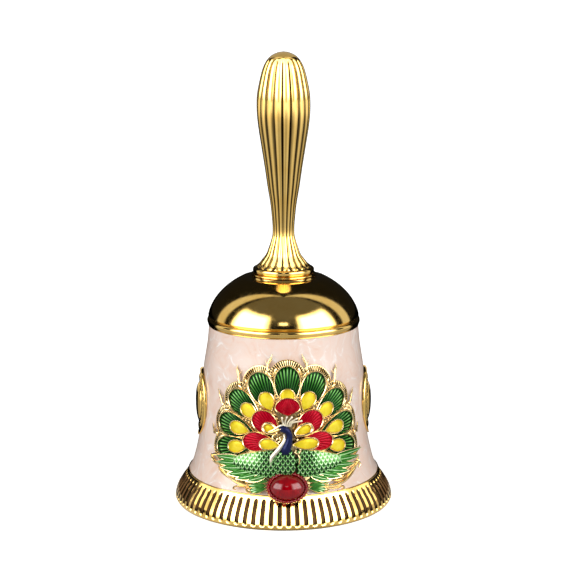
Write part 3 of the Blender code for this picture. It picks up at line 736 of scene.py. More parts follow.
def build_plate(gold):
    """The cast backing with a fringed scallop behind each feather, and gold curls between the cells."""
    plate = Solid()
    turn = full_turn(360)[None, :]
    share = np.concatenate([np.linspace(0.0, 0.94, 24), np.linspace(0.95, 1.0, 8)])[:, None]
    top = 0.25 + 0.85 * np.sqrt(np.clip(1.0 - ((share - 0.94) / 0.06).clip(0, 1) ** 2, 0, 1))
    rows = np.vstack([share, [[1.0]], [[0.0]]]) * plate_radius(np.degrees(turn))
    heights = np.vstack([top, [[0.1]], [[0.1]]])
    u, v = rows * np.cos(turn), FAN_CENTRE_V + rows * np.sin(turn)
    # The backing gets tone 0.2: painted shade between the raised cells.
    plate.grid(wrap(u, np.maximum(v, 8.5), heights), tone=0.2)

    for centre_deg, width, *_ in FAN:
        fringe(plate, centre_deg, 0.5 * width + 0.1)
    interstices(plate)
    plate.build("peacock_backing", gold, ["peacock_plate"], sharp=45.0)


def fringe(solid, centre_deg, inner):
    """A crescent of radial barbs round the head of one feather, with a thin rim wire."""
    head = GREEN_TIP - inner
    outer = inner + 1.75
    turn_deg = np.linspace(-FRINGE_TURN_DEG, FRINGE_TURN_DEG, FRINGE_BARBS * 8 + 1)[None, :]
    wave = np.cos(np.pi * turn_deg * FRINGE_BARBS / FRINGE_TURN_DEG)

    def fading(angle_deg):
        return 1.0 - 0.55 * smoothstep(np.abs(angle_deg), 55.0, FRINGE_TURN_DEG)

    edge = inner + (outer - inner) * fading(turn_deg) + 0.1 * wave
    share = np.linspace(0, 1, 10)[:, None]
    reach = inner + (edge - inner) * share
    height = 1.25 - 0.3 * share + 0.13 * wave * smoothstep(share, 0.0, 0.3) * (1 - share**6)
    rows = np.vstack([reach, edge, np.full_like(edge, inner)])
    levels = np.vstack([height, np.full((2, edge.size), 0.15)])
    fan = math.radians(centre_deg)
    turn = np.radians(turn_deg) + fan
    base_u, base_v = fan_point(centre_deg, head)
    u, v = base_u + rows * np.cos(turn), base_v + rows * np.sin(turn)
    # Painted shade: darker gold in the grooves between the barbs.
    solid.grid(wrap(u, v, levels), 0.4 - 0.4 * smoothstep(-wave, -0.75, 0.5))
    arc_deg = np.linspace(-112.0, 112.0, 60)
    rim = inner + (outer - inner) * fading(arc_deg) - 0.05
    arc = np.radians(arc_deg) + fan
    path = np.column_stack([base_u + rim * np.cos(arc), base_v + rim * np.sin(arc), np.full(60, 0.85)])
    tube(solid, path, taper(60, 0.2), sides=6)


def interstices(solid):
    """Beads and small curls in the gaps between the cells."""
    for (left, *_), (right, *_) in zip(FAN, FAN[1:]):
        middle = 0.5 * (left + right)
        for radius, size in ((9.6, 0.34), (10.7, 0.28), (11.7, 0.24), (12.6, 0.2)):
            bead(solid, *fan_point(middle, radius), 1.45, size)
        for turn in (-3.5, 3.5):
            points = [(*fan_point(middle + turn * 0.3, 17.2), 1.1), (*fan_point(middle + turn, 18.6), 1.25)]
            points.append((*fan_point(middle + turn * 1.2, 19.6), 1.0))
            bar(solid, points, 0.3, count=12)
    for (left, *_), (right, *_) in zip(RED_FAN, RED_FAN[1:]):
        middle = 0.5 * (left + right)
        for radius, size in ((5.6, 0.3), (6.6, 0.36), (7.8, 0.32)):
            bead(solid, *fan_point(middle, radius), 1.9, size)


def build_feathers(green, yellow, red, gold):
    wires = Solid()

    def add(name, finish, node, root, tip, width, floor, dome, wall, **look):
        """One cell on its own. wall is the points, gap, height, radius and tallness of the wire round it."""
        cell = Solid()
        walled_cell(cell, wires, root, tip, width, floor, dome, wall, **look)
        cell.build(name, finish, [node])

    for k, (angle, width, eye_tip, eye_root, eye_width) in enumerate(FAN, start=1):
        ends = fan_point(angle, GREEN_ROOT), fan_point(angle, GREEN_TIP)
        look = {"pitch_deg": 5.2, "ridge": 0.07, "tones": (0.0, 0.92)}
        wall = (44, 0.14, 1.35, 0.2, 2.0)
        add(f"green_feather_{k}", green, f"feather_green_{k}", *ends, width, 1.1, 0.4, wall, **look)
        ends = fan_point(angle, eye_root), fan_point(angle, eye_tip)
        look = {"broad": 0.62, "power": 4.0, "flat_tone": 0.6}
        wall = (36, 0.08, 1.7, 0.17, 1.5)
        add(f"yellow_eye_{k}", yellow, f"feather_eye_{k}", *ends, eye_width, 1.6, 0.55, wall, **look)
    for k, (angle, near, reach, width) in enumerate(RED_FAN, start=1):
        ends = fan_point(angle, near), fan_point(angle, reach)
        broad = 0.6 if near < 5.0 else 0.42
        look = {"pitch_deg": 6.4, "ridge": 0.04, "tones": (0.38, 0.85), "broad": broad}
        wall = (40, 0.12, 2.2, 0.2, 2.0)
        add(f"red_feather_{k}", red, f"feather_red_{k}", *ends, width, 2.1, 0.4, wall, **look)
    for k, (root, tip, width, wire) in SMALL_EYES.items():
        look = {"broad": 0.62, "power": 4.0, "flat_tone": 0.5}
        wall = (32, wire - 0.1, 2.6, wire, 1.4)
        add(f"small_eye_{k}", yellow, f"inner_eye_{k}", root, tip, width, 2.5, 0.45, wall, **look)
    wires.build("cell_walls", gold)


# Foot, middle and tip of each stalk on the right, and how far its twigs lean.
SPRIG_STALKS = [
    ((5.4, 40.2), (5.2, 42.6), (4.1, 45.2), 0.9),
    ((12.9, 37.2), (13.6, 39.4), (14.5, 41.6), -0.9),
    ((18.2, 30.5), (19.4, 32.2), (21.1, 34.3), -0.8),
    ((20.0, 22.3), (21.6, 23.0), (23.2, 24.3), -0.7),
]
# Drop of the knee below the stalk's middle, turn and rise of the tip, thickness, points and thin end.
SPRIG_TWIGS = [(0.6, -1.3, 1.7, 0.2, 14, 0.25), (0.9, 0.9, 0.9, 0.18, 12, 0.3)]
SPRIG_TONE = 0.38


def build_sprigs(gold):
    """Forked twigs that rise from the valleys of the fan and lie on the pink enamel."""
    sprigs = Solid()
    for side, _ in SIDES:
        for low, middle, tip, lean in SPRIG_STALKS:
            points = [(side * u, v, h) for (u, v), h in zip((low, middle, tip), (1.1, 0.75, 0.35))]
            bar(sprigs, points, 0.28, count=20, start=1.4, end=0.25, tone=SPRIG_TONE)
            for drop, turn, rise, thick, count, end in SPRIG_TWIGS:
                knee = (side * middle[0], middle[1] - drop, 0.8)
                twig = (side * (middle[0] + lean * turn), middle[1] + rise, 0.4)
                bar(sprigs, [points[0], knee, twig], thick, count=count, end=end, tone=SPRIG_TONE)
            bead(sprigs, side * low[0], low[1], 0.9, 0.55, flat=0.8)
    sprigs.build("gold_sprigs", gold)


def scale_pattern(x, y, pitch_x, pitch_y):
    """Overlapping scales, upper rows on top: 0 at the root of a scale and 1 at its free edge."""
    row = np.floor(y / pitch_y)
    share = np.ones(np.broadcast(x, y).shape)
    for step in (0, 1, 2):
        r = row + step
        across = (x / pitch_x + 0.5 * (r % 2)) % 1.0 - 0.5
        below = y / pitch_y - r
        away = np.hypot(across * 1.85, below * 0.52)
        share = np.where(away < 1.0, away, share)
    return share


def scaled_field(solid, u, v, floor, dome, pitch, tones, lift=0.3):
    """A domed patch of scales on a grid whose columns run across it. u and v are rows by columns.

    tones are the painted shade between the scales and the painted highlight at their free edges.
    """
    rows, cols = u.shape
    s = np.linspace(-1, 1, cols)[None, :]
    t = np.linspace(-1, 1, rows)[:, None]
    edge = np.sqrt(np.clip((1 - np.abs(s) ** 3) * (1 - np.abs(t) ** 6), 0, 1))
    share = scale_pattern(u, v, pitch, pitch * 0.82)
    rise = smoothstep(share, 0.1, 0.8) * (1.0 - smoothstep(share, 0.86, 0.99))
    height = floor + dome * edge + lift * (rise - 0.5) * edge
    light = smoothstep(share, 0.5, 0.86) * (1.0 - smoothstep(share, 0.88, 0.99))
    tone = tones[0] + (tones[1] - tones[0]) * light
    under = np.full((1, cols), floor - 1.0)
    u, v, tone = (np.vstack([rows[:1], rows, rows[-1:]]) for rows in (u, v, tone))
    solid.grid(wrap(u, v, np.vstack([under, height, under])), tone)


def flight_feather(cells, wires, root, tip, width, floor, tones):
    wall = (32, 0.06, floor - 0.1, 0.12, 1.6)
    look = {"pitch_deg": 9.0, "ridge": 0.06, "tones": tones}
    walled_cell(cells, wires, tip, root, width, floor, 0.5, wall, 0.6, 6, **look)
    shaft = np.column_stack([np.linspace(root, tip, 14), np.full(14, floor + 0.48)])
    tube(cells, shaft, taper(14, 0.1, 1.0, 0.3), sides=6, tone=0.95, gilt=0.0)


WING_TOP = [(2.2, 20.2), (5.0, 19.9), (9.0, 19.0), (12.0, 17.9), (13.4, 17.2)]
WING_LOW = [(2.2, 13.0), (5.0, 12.9), (8.0, 13.4), (11.0, 14.3), (13.4, 15.4)]
WING_SPAN = (2.2, 13.4)
# Root, tip and width of each flight feather.
LEFT_PRIMARIES = [
    ((11.0, 17.0), (18.6, 16.6), 1.8), ((10.4, 16.0), (18.2, 15.1), 2.0), ((9.6, 15.0), (16.6, 13.8), 2.1),
    ((8.2, 14.2), (14.4, 12.5), 2.0), ((6.8, 13.6), (12.0, 11.7), 1.8), ((5.2, 13.2), (9.4, 11.4), 1.5),
]
RIGHT_PRIMARIES = [
    ((11.2, 17.2), (20.8, 17.7), 1.4), ((10.8, 16.4), (19.4, 16.0), 1.8), ((9.8, 15.4), (17.2, 14.3), 2.0),
    ((8.6, 14.4), (15.2, 12.8), 2.0), ((7.2, 13.6), (12.8, 11.8), 1.9), ((5.4, 13.2), (9.8, 11.3), 1.5),
]


def build_wings(green, gold):
    wires = Solid()
    for (side, name), primaries in zip(SIDES, (LEFT_PRIMARIES, RIGHT_PRIMARIES)):
        wing = Solid()
        for i, (root, tip, width) in enumerate(primaries):
            root, tip = (side * root[0], root[1]), (side * tip[0], tip[1])
            flight_feather(wing, wires, root, tip, width, 1.75 + 0.08 * i, (0.5, 1.1))
        across = np.linspace(*WING_SPAN, 200)[:, None]
        upward = np.linspace(0.0, 1.0, 110)[None, :]
        top, low = curve(WING_TOP, across), curve(WING_LOW, across)
        u, v = np.broadcast_arrays(side * across, low + (top - low) * upward)
        # pale marks the upper outer part of each wing, which gets lighter tones there: a painted highlight.
        # It also makes the scales shallower.
        pale = smoothstep(across, 5.0, 8.0) * smoothstep(upward, 0.15, 0.65)
        tones = (0.02 + 0.78 * pale, 0.98 + 0.3 * pale)
        scaled_field(wing, u, v, 2.05, 0.6, 1.1, tones, lift=0.26 - 0.12 * pale)
        wing.build(f"wing_{name}_enamel", green, [f"wing_{name}"])
        ridge = [(side * a, float(curve(WING_TOP, a)) + 0.05, 2.1) for a in np.linspace(2.6, 13.4, 10)]
        bar(wires, ridge, 0.2, count=50, start=0.6, end=0.3, tall=1.2)
    wires.build("wing_gold_edges", gold)


def build_bird(green, navy, gold):
    breast = Solid()
    upward = np.linspace(0.0, 1.0, 150)[:, None]
    across = np.linspace(-1.0, 1.0, 100)[None, :]
    half = curve([(0.0, 1.5), (0.25, 2.3), (0.55, 2.5), (0.8, 1.9), (1.0, 1.1)], upward)
    u, v = np.broadcast_arrays(-0.5 + half * across, 13.6 + 7.2 * upward)
    scaled_field(breast, u, v, 1.9, 1.1, 1.15, (0.0, 0.98), lift=0.32)
    breast.build("breast_scales", green, ["breast_enamel"])

    neck = Solid()
    path = [
        (-0.9, 19.0, 1.2), (-0.5, 20.2, 2.6), (-0.2, 21.2, 3.0), (0.15, 22.3, 3.1), (0.35, 23.5, 3.15),
        (0.3, 24.7, 3.2), (-0.25, 25.7, 3.25), (-1.1, 26.15, 3.25), (-2.0, 26.0, 3.2), (-3.0, 25.5, 3.1),
        (-4.6, 24.85, 2.95),
    ]
    spine = smooth_path(path, 110)
    share = np.linspace(0, 1, 110)
    girth = [
        (0.0, 1.0), (0.12, 1.3), (0.2, 1.2), (0.3, 1.0), (0.42, 0.83), (0.52, 0.8),
        (0.6, 0.88), (0.68, 0.92), (0.75, 0.8), (0.8, 0.5), (0.9, 0.3), (1.0, 0.08),
    ]
    beak = smoothstep(share, 0.78, 0.82)
    tube(neck, spine, curve(girth, share), sides=24, gilt=np.pad(beak, 1, mode="edge")[:, None])
    neck.build("neck_navy", navy, ["neck_enamel"])

    trim = Solid()
    front = [(-0.9, 24.7, 3.0), (-0.75, 23.4, 3.1), (-1.1, 22.2, 3.1), (-1.8, 21.0, 3.0), (-2.9, 19.4, 2.8)]
    front += [(-3.7, 18.2, 2.6), (-3.9, 16.5, 2.4), (-3.6, 14.8, 2.2)]
    # The front band, the brow and the crest take tone 1.0: the pale painted highlight.
    bar(trim, front, 0.58, count=60, start=0.3, end=0.3, tall=0.8, tone=1.0)
    bar(trim, [(2.3, 19.2, 2.5), (2.7, 17.6, 2.4), (2.4, 15.4, 2.2)], 0.24, count=24)
    bead(trim, -1.75, 26.25, 4.0, 0.17)
    brow = [(-0.2, 27.0, 3.2), (-1.2, 27.3, 3.4), (-2.2, 26.8, 3.3), (-3.2, 26.0, 3.2), (-4.6, 25.2, 3.0)]
    bar(trim, brow, 0.27, count=30, start=0.5, end=0.4, tone=1.0)
    for k in range(5):
        lean = -0.9 + 0.75 * k
        root = (-0.6 + 0.3 * k, 26.8, 3.3)
        middle = (-0.5 + 0.75 * lean, 27.9, 3.4)
        tip = (0.0 + 1.5 * lean, 29.4 - 0.26 * lean * lean, 3.3)
        bar(trim, [root, middle, tip], 0.21, count=18, start=0.8, end=1.1, sides=6, tone=1.0)
        bead(trim, tip[0], tip[1], tip[2], 0.3, tone=1.0)
    curls = [
        [(-2.1, 24.6, 2.5), (-3.3, 24.2, 2.5), (-3.6, 23.3, 2.5), (-2.8, 22.9, 2.5), (-2.3, 23.5, 2.5)],
        [(-1.3, 24.2, 2.4), (-1.9, 23.6, 2.5), (-1.7, 22.8, 2.5), (-2.3, 22.3, 2.4)],
        [
            (1.4, 21.4, 2.4), (2.3, 20.9, 2.5), (3.0, 20.1, 2.4),
            (2.5, 19.2, 2.4), (1.7, 19.5, 2.4), (2.0, 20.2, 2.4),
        ],
        [(1.4, 24.9, 2.4), (2.3, 25.4, 2.4), (2.8, 24.6, 2.4), (2.1, 23.9, 2.4)],
        [(1.5, 23.3, 2.3), (2.4, 22.9, 2.3), (1.8, 22.2, 2.3)],
    ]
    for points in curls:
        bar(trim, points, 0.26, count=36, start=0.5, end=0.8)
    trim.build("bird_gold_trim", gold)


def build_scrolls(gold):
    """Acanthus-like scrolls under the wings, and the points at the wing tips."""
    scrolls = Solid()
    left = [
        ([(-7.4, 11.4), (-9.6, 10.6), (-12.6, 11.4), (-15.2, 12.6), (-17.6, 14.2), (-19.6, 15.0)], 0.5),
        ([(-8.8, 10.1), (-11.6, 10.5), (-14.2, 11.6), (-16.4, 12.4), (-17.8, 13.6), (-16.9, 14.1)], 0.38),
        ([(-16.8, 14.4), (-19.0, 14.6), (-20.4, 15.3), (-21.5, 16.3)], 0.5),
        ([(-16.6, 16.4), (-18.6, 16.8), (-20.6, 16.4), (-21.4, 15.6)], 0.34),
        ([(-6.2, 12.2), (-7.6, 11.6), (-8.6, 12.4), (-10.4, 12.0), (-11.4, 12.7)], 0.36),
        ([(-9.0, 9.5), (-10.6, 9.8), (-12.2, 9.5), (-12.5, 8.9), (-11.8, 8.7)], 0.26),
        ([(-8.2, 9.9), (-9.4, 9.3), (-8.8, 8.6), (-8.0, 9.0)], 0.3),
        ([(-12.8, 12.3), (-14.0, 13.0), (-15.6, 13.0)], 0.34),
        ([(-4.8, 13.4), (-6.6, 13.0), (-7.4, 12.2), (-6.8, 11.6), (-6.2, 12.0)], 0.3),
        ([(-9.8, 12.0), (-11.2, 11.2), (-12.8, 11.3), (-13.2, 12.0), (-12.4, 12.3)], 0.3),
    ]
    right = [
        ([(7.4, 11.2), (9.8, 9.8), (12.4, 10.0), (15.0, 10.8), (17.6, 12.4), (19.2, 13.6)], 0.5),
        ([(10.4, 11.2), (12.8, 11.0), (15.6, 12.0), (18.2, 13.2), (20.0, 14.3), (19.4, 15.2)], 0.4),
        ([(15.0, 12.9), (17.0, 13.8), (19.2, 14.4), (20.4, 13.4), (19.6, 12.6)], 0.36),
        ([(12.6, 15.2), (16.0, 15.5), (19.4, 16.6), (21.6, 17.9)], 0.34),
        ([(6.4, 12.0), (7.8, 11.3), (9.0, 12.1), (10.8, 11.8), (12.6, 12.8)], 0.36),
        ([(9.4, 9.1), (11.0, 8.9), (12.8, 9.1), (13.2, 8.6), (12.4, 8.5)], 0.28),
        ([(8.0, 9.9), (9.2, 9.2), (8.8, 8.6), (8.0, 8.9)], 0.3),
        ([(17.4, 15.4), (19.6, 15.8), (20.4, 15.0)], 0.3),
        ([(4.8, 13.4), (6.6, 13.0), (7.4, 12.2), (6.8, 11.6), (6.2, 12.0)], 0.3),
        ([(9.8, 11.8), (11.2, 11.0), (12.8, 11.1), (13.2, 11.8), (12.4, 12.2)], 0.3),
    ]
    for lines in (left, right):
        for points, thick in lines:
            path = [(u, v, 0.95 if abs(u) > 14 else 1.35) for u, v in points]
            bar(scrolls, path, thick, count=44, start=0.4, end=0.5, tall=1.15)
    beads = [(6.9, 12.6, 0.4), (9.6, 11.3, 0.34), (11.8, 11.6, 0.3), (13.6, 11.9, 0.3), (5.6, 12.0, 0.36)]
    for side, _ in SIDES:
        for u, v, size in beads:
            bead(scrolls, side * u, v, 1.4, size)
    scrolls.build("gold_scrollwork", gold)


LEAVES = [
    ((4.6, 10.7), (9.4, 10.4), 1.7), ((4.5, 9.9), (8.6, 8.9), 1.5), ((4.4, 11.7), (8.0, 12.3), 1.5),
]


def build_leaves(green, gold):
    edges = Solid()
    for side, name in SIDES:
        leaf = Solid()
        for k, (root, tip, width) in enumerate(LEAVES):
            root, tip = (side * root[0], root[1]), (side * tip[0], tip[1])
            floor = 1.25 + 0.12 * k
            wall = (28, 0.05, floor + 0.05, 0.13, 1.4)
            look = {"pitch_deg": 9.0, "ridge": 0.06, "tones": (0.45, 1.3)}
            walled_cell(leaf, edges, root, tip, width, floor, 0.5, wall, 0.6, **look)
        leaf.build(f"leaves_{name}", green, [f"leaf_{name}"])
    edges.build("leaf_gold_edges", gold)


RUBY_U, RUBY_V, RUBY_BASE = -0.15, 10.25, 1.2
RUBY_HALF_WIDTH, RUBY_HALF_HEIGHT = 5.6, 4.2
RUBY_PLEATS = 32
# Share of the half width, height, and how much the pleats spread and lift.
RUBY_CUP = [
    (0.0, -0.6, 0.0, 0.0), (0.84, -0.6, 0.0, 0.0), (0.94, -0.2, 0.015, 0.03), (0.99, 0.35, 0.022, 0.05),
    (1.0, 0.75, 0.024, 0.08), (0.985, 1.05, 0.024, 0.11), (0.95, 1.3, 0.02, 0.12), (0.91, 1.48, 0.01, 0.1),
    (0.87, 1.55, 0.0, 0.05), (0.84, 1.5, 0.0, 0.0), (0.83, 1.35, 0.0, 0.0), (0.82, 0.6, 0.0, 0.0),
    (0.0, 0.6, 0.0, 0.0),
]


def build_ruby(ruby):
    centre = wrap(RUBY_U, RUBY_V, RUBY_BASE)
    out = unit(wrap(RUBY_U, RUBY_V, RUBY_BASE + 1.0) - centre)
    side = unit(np.cross([0.0, 0.0, 1.0], out))
    up = np.cross(out, side)
    turn = full_turn(320)[None, :]
    wave = np.cos(RUBY_PLEATS * turn)

    def oval(share, height, spread=0.0, lift=0.0):
        share = share * (1 + spread * wave)
        x = RUBY_HALF_WIDTH * np.sign(np.cos(turn)) * np.abs(np.cos(turn)) ** 1.04 * share
        y = RUBY_HALF_HEIGHT * np.sin(turn) * share
        return centre + x[..., None] * side + y[..., None] * up + (height + lift * wave)[..., None] * out

    cup = Solid()
    cup.grid(oval(*np.array(RUBY_CUP).T[..., None]))
    cup.build("ruby_pleated_cup", ruby, ["ruby_cup"], sharp=60.0)

    stone = Solid()
    polar = np.linspace(0, 0.5 * np.pi, 24)
    share = np.array([0.0, *(0.83 * np.cos(polar[:-1])), 0.0])
    height = np.array([0.5, *(0.75 + 3.05 * np.sin(polar))])
    stone.grid(oval(share[:, None], height[:, None]))
    stone.build("ruby_stone", ruby, ["ruby_cabochon"])


BOSS_V = 27.4
BOSS_HALF_WIDTH, BOSS_HALF_HEIGHT = 7.6, 9.4
BOSS_REACH = 24.05
# Share of the half width, and height on a wall that is upright.
BOSS_PROFILE = [
    (1.0, 0.1), (1.0, 0.5), (0.985, 0.78), (0.95, 0.95), (0.91, 0.92), (0.88, 0.75), (0.86, 0.7),
    (0.84, 0.82), (0.8, 1.05), (0.74, 1.2), (0.68, 1.12), (0.64, 0.95), (0.61, 0.9), (0.58, 1.2),
    (0.5, 1.6), (0.4, 1.9), (0.28, 2.08), (0.14, 2.18), (0.0, 2.2),
]


def build_bosses(gold):
    """Stepped oval bosses on both sides, with a fluted border round a smooth dome."""
    turn = full_turn(288)[None, :]
    share, height = np.array(BOSS_PROFILE).T[..., None]
    ribs = 0.07 * np.cos(36 * turn) * np.exp(-(((share - 0.76) / 0.07) ** 2))
    for side, name in SIDES:
        middle = side * 0.5 * np.pi * WRAP_RADIUS

        def oval(share):
            u = middle + BOSS_HALF_WIDTH * share * np.cos(turn)
            return u, BOSS_V + BOSS_HALF_HEIGHT * share * np.sin(turn)

        boss = Solid()
        u, v = oval(share)
        upright = (BOSS_REACH - surface_radius(v)) / 2.1
        boss.grid(wrap(u, v, np.where(share < 1.0, (height + ribs) * upright, height)))
        boss.grid(wrap(*oval(np.array([[1.0], [0.7], [0.35], [0.0]])), 0.1))
        boss.build(f"side_boss_{name}_oval", gold, [f"side_boss_{name}"])


# ---------------------------------------------------------------- clapper and crown hardware
EYE_CENTRE_Z = 54.2
RING_PIVOT_Z = 47.95
RING_RADIUS, RING_WIRE = 2.6, 0.6
LOOP_RADIUS, LOOP_WIRE = 2.2, 0.7
LOOP_GAP = 0.15
NUT_HALF_FLATS = 2.75
THREADS = 30
BALL_RADIUS, BALL_Z, BALL_BORE = 5.5, 12.6, 1.05


def wire_ring(solid, centre_z, major, wire, across):
    """A round wire ring that stands upright on the bell's axis. across is its level direction."""
    across, up = np.array(across, float), np.array([0.0, 0.0, 1.0])
    turn, side = full_turn(64)[:, None, None], full_turn(20)[None, :, None]
    out = across * np.cos(turn) + up * np.sin(turn)
    middle = np.array([0.0, 0.0, centre_z])
    around = out * (major + wire * np.cos(side)) + np.cross(across, up) * wire * np.sin(side)
    solid.grid(middle + around)


def build_hardware(steel, gold):
    def hexagon(angle, r, z):
        off = (angle + np.pi / 6) % (np.pi / 3) - np.pi / 6
        return np.where(r > 2.0, np.minimum(r, NUT_HALF_FLATS / np.cos(off)), r)

    bolt = Solid()
    wire_ring(bolt, EYE_CENTRE_Z, 2.6, 0.8, (1, 0, 0))
    thread = [(0.0, 56.4), (1.3, 56.4)]
    for z in 57.5 + 0.5 * np.arange(THREADS):
        thread += [(1.42, z), (1.2, z + 0.25)]
    turned(bolt, thread + [(1.1, 72.6), (0.0, 72.6)], 32)
    bolt.build("crown_eye_bolt", steel, ["eye_bolt"], sharp=30.0)
    washer = rounded([(1.65, 59.62), (3.6, 59.62), (3.6, 60.22), (1.65, 60.22)], 0.12)
    build_turned("crown_clamp_washer", steel, "crown_washer", washer, 64, sharp=30.0)
    nut = [(1.65, 57.34), (2.75, 57.34), (3.17, 57.7), (3.17, 59.2), (2.75, 59.54), (1.65, 59.54)]
    build_turned("crown_hex_nut", steel, "crown_nut", nut, 96, hexagon, sharp=25.0)

    ring = Solid()
    wire_ring(ring, RING_PIVOT_Z + RING_RADIUS, RING_RADIUS, RING_WIRE, (0, 1, 0))
    ring.build("clapper_hanger_ring", steel, ["hanger_ring"], body="ring")

    rod = Solid()
    loop_z = RING_PIVOT_Z + RING_WIRE + LOOP_WIRE + LOOP_GAP - LOOP_RADIUS
    wire_ring(rod, loop_z, LOOP_RADIUS, LOOP_WIRE, (1, 0, 0))
    shank = [(0.0, 6.2), (0.75, 6.2), (0.9, 6.4)] + [(0.9, z) for z in np.linspace(7.0, 43.6, 12)]
    turned(rod, shank + [(1.0, 44.2), (1.15, 44.8), (1.0, 45.3), (0.0, 45.4)], 40)
    rod.build("clapper_rod_loop", steel, ["clapper_rod"], body="clapper")

    bore = math.asin(BALL_BORE / BALL_RADIUS)
    arc = np.linspace(bore, math.pi - bore, 60)
    belt = 0.12 * np.exp(-(((arc - 0.5 * np.pi) / 0.06) ** 2))
    ball = np.column_stack([(BALL_RADIUS - belt) * np.sin(arc), BALL_Z - BALL_RADIUS * np.cos(arc)])
    build_turned("clapper_ball_gold", gold, "clapper_ball", ball, 96, body="clapper")
    end = rounded([(1.05, 5.98), (1.7, 5.98), (2.0, 6.5), (1.8, 7.08), (1.05, 7.08)], 0.2)
    build_turned("clapper_nut_gold", gold, "clapper_end_nut", end, 48, body="clapper")


# ---------------------------------------------------------------- studio
CAMERA_DISTANCE = 420.0
CAMERA_HEIGHT = 141.3
CAMERA_PITCH = 0.1932
CAMERA_AZIMUTH_DEG = -2.55
CAMERA_LENS = 98.95
CAMERA_SHIFT = 3.0 / 573.0
BOX_RADIANCE = 3.9
BOX_SHINE = 1.7
# Turn away from the camera and lift above the floor: both ends, and half the soft edge.
BOX_TURN_DEG = (27.0, 82.0, 8.0)
BOX_LIFT_DEG = (3.0, 43.0, 7.0)
SWEEP_TURN_DEG = (101.0, 119.0, 2.5)
SPOT_LIFT_DEG = (24.0, 31.0, 2.0)
# Edges from nothing to full.
SPOT_TURN_DEG = (8.0, 5.0)
WALL_TURN_DEG = (95.0, 89.0)
WALL_LIFT_DEG = (16.0, 46.0)
FLOOR_TURN_DEG = (122.0, 114.0)
WALL_RADIANCE = 0.13
SWEEP_RADIANCE = 0.75
SPOT_RADIANCE = 3.0
BACK_RADIANCE = 0.012
FLOOR_SEEN = 0.46
FLOOR_SEEN_UNDER_BOX = 0.28
# The gold sees the floor grow brighter from the first to the second distance in metres, by this share.
FLOOR_FADE = (0.2, 0.75)
FLOOR_FAR_GAIN = 1.1
FLOOR_GLOW = 0.7
SKIRT_CARD_RADIANCE = 6.5
SIDE_CARD_RADIANCE = 1.3
# Low edge in degrees and radiance of the stacked cards, which fade the shine of the handle in.
HANDLE_CARDS = [(-9, 0.25), (-6, 0.35), (-3, 0.45), (24, 0.45), (30, 0.9), (38, 1.1)]
HANDLE_CARDS_TOP_DEG = 82.0
CAP_CARD_RADIANCE = 0.45
BOSS_CARD_RADIANCE = 0.9
CARD_DISTANCE = 0.5


def add_camera():
    camera = bpy.data.objects.new("camera", bpy.data.cameras.new("camera"))
    turn = math.radians(CAMERA_AZIMUTH_DEG)
    spot = (math.sin(turn) * CAMERA_DISTANCE, -math.cos(turn) * CAMERA_DISTANCE, CAMERA_HEIGHT)
    camera.location = Vector(spot) * MM
    camera.rotation_euler = (math.pi / 2 - CAMERA_PITCH, 0.0, turn)
    camera.data.lens = CAMERA_LENS
    camera.data.sensor_width = 36.0
    camera.data.shift_x = CAMERA_SHIFT
    camera.data.clip_start = 0.01
    bpy.context.scene.collection.objects.link(camera)
    bpy.context.scene.camera = camera


def add_card(name, elevation_deg, height, size, radiance, receivers, turn_deg=0.0):
    """An area light that only some pieces see, aimed at the axis at a height. Turn 0 is in front.

    Its power follows from the radiance it shows in the gold.
    """
    light = bpy.data.lights.new(name, "AREA")
    light.shape = "RECTANGLE"
    light.size, light.size_y = size
    light.energy = radiance * size[0] * size[1] * math.pi
    card = bpy.data.objects.new(name, light)
    lift, turn = math.radians(elevation_deg), math.radians(turn_deg)
    away = Vector((math.sin(turn) * math.cos(lift), -math.cos(turn) * math.cos(lift), math.sin(lift)))
    card.location = away * CARD_DISTANCE + Vector((0.0, 0.0, height * MM))
    card.rotation_euler = away.to_track_quat("Z", "Y").to_euler()
    bpy.context.scene.collection.objects.link(card)
    group = bpy.data.collections.new(name + "_receivers")
    for receiver in receivers:
        group.objects.link(bpy.data.objects[receiver])
    card.light_linking.receiver_collection = group


def add_world():
    """White behind the object. What the gold reflects is a room that turns with the camera.

    It has a soft box on each side of the camera, a dim wall above, a pale sweep at the sides and a dark back.
    """
    world = bpy.data.worlds.new("studio")
    bpy.context.scene.world = world
    tree = Tree(world)
    tree.nodes.clear()
    where = tree.add("TexCoord").outputs["Generated"]
    away = tree.turn_from_camera(where)
    height = tree.add("SeparateXYZ", {0: where}).outputs["Z"]
    lift = tree.do("MULTIPLY", tree.do("ARCSINE", height), 180.0 / math.pi)
    boxes = tree.do("MULTIPLY", tree.band(away, *BOX_TURN_DEG), tree.band(lift, *BOX_LIFT_DEG))
    wall = tree.do("MULTIPLY", tree.edge(lift, *WALL_LIFT_DEG), tree.edge(away, *WALL_TURN_DEG))
    sweep = tree.band(away, *SWEEP_TURN_DEG)
    spot = tree.do("MULTIPLY", tree.edge(away, *SPOT_TURN_DEG), tree.band(lift, *SPOT_LIFT_DEG))
    ray = tree.add("LightPath").outputs
    shine = tree.do("MULTIPLY_ADD", ray["Is Glossy Ray"], BOX_SHINE - 1.0, 1.0)
    parts = [
        (tree.do("MULTIPLY", boxes, shine), BOX_RADIANCE),
        (wall, WALL_RADIANCE),
        (sweep, SWEEP_RADIANCE),
        (spot, SPOT_RADIANCE),
    ]
    light = BACK_RADIANCE
    for part, radiance in parts:
        light = tree.do("MULTIPLY_ADD", part, radiance, light)
    room = tree.add("Background", {"Color": (1.0, 0.985, 0.96), "Strength": light})
    white = tree.add("Background", {"Color": (1.0, 1.0, 1.0)})
    seen = tree.add("MixShader", {0: ray["Is Camera Ray"], 1: room.outputs[0], 2: white.outputs[0]})
    tree.add("OutputWorld", {"Surface": seen.outputs[0]})
    world.cycles.sampling_method = "MANUAL"
    world.cycles.sample_map_resolution = 512


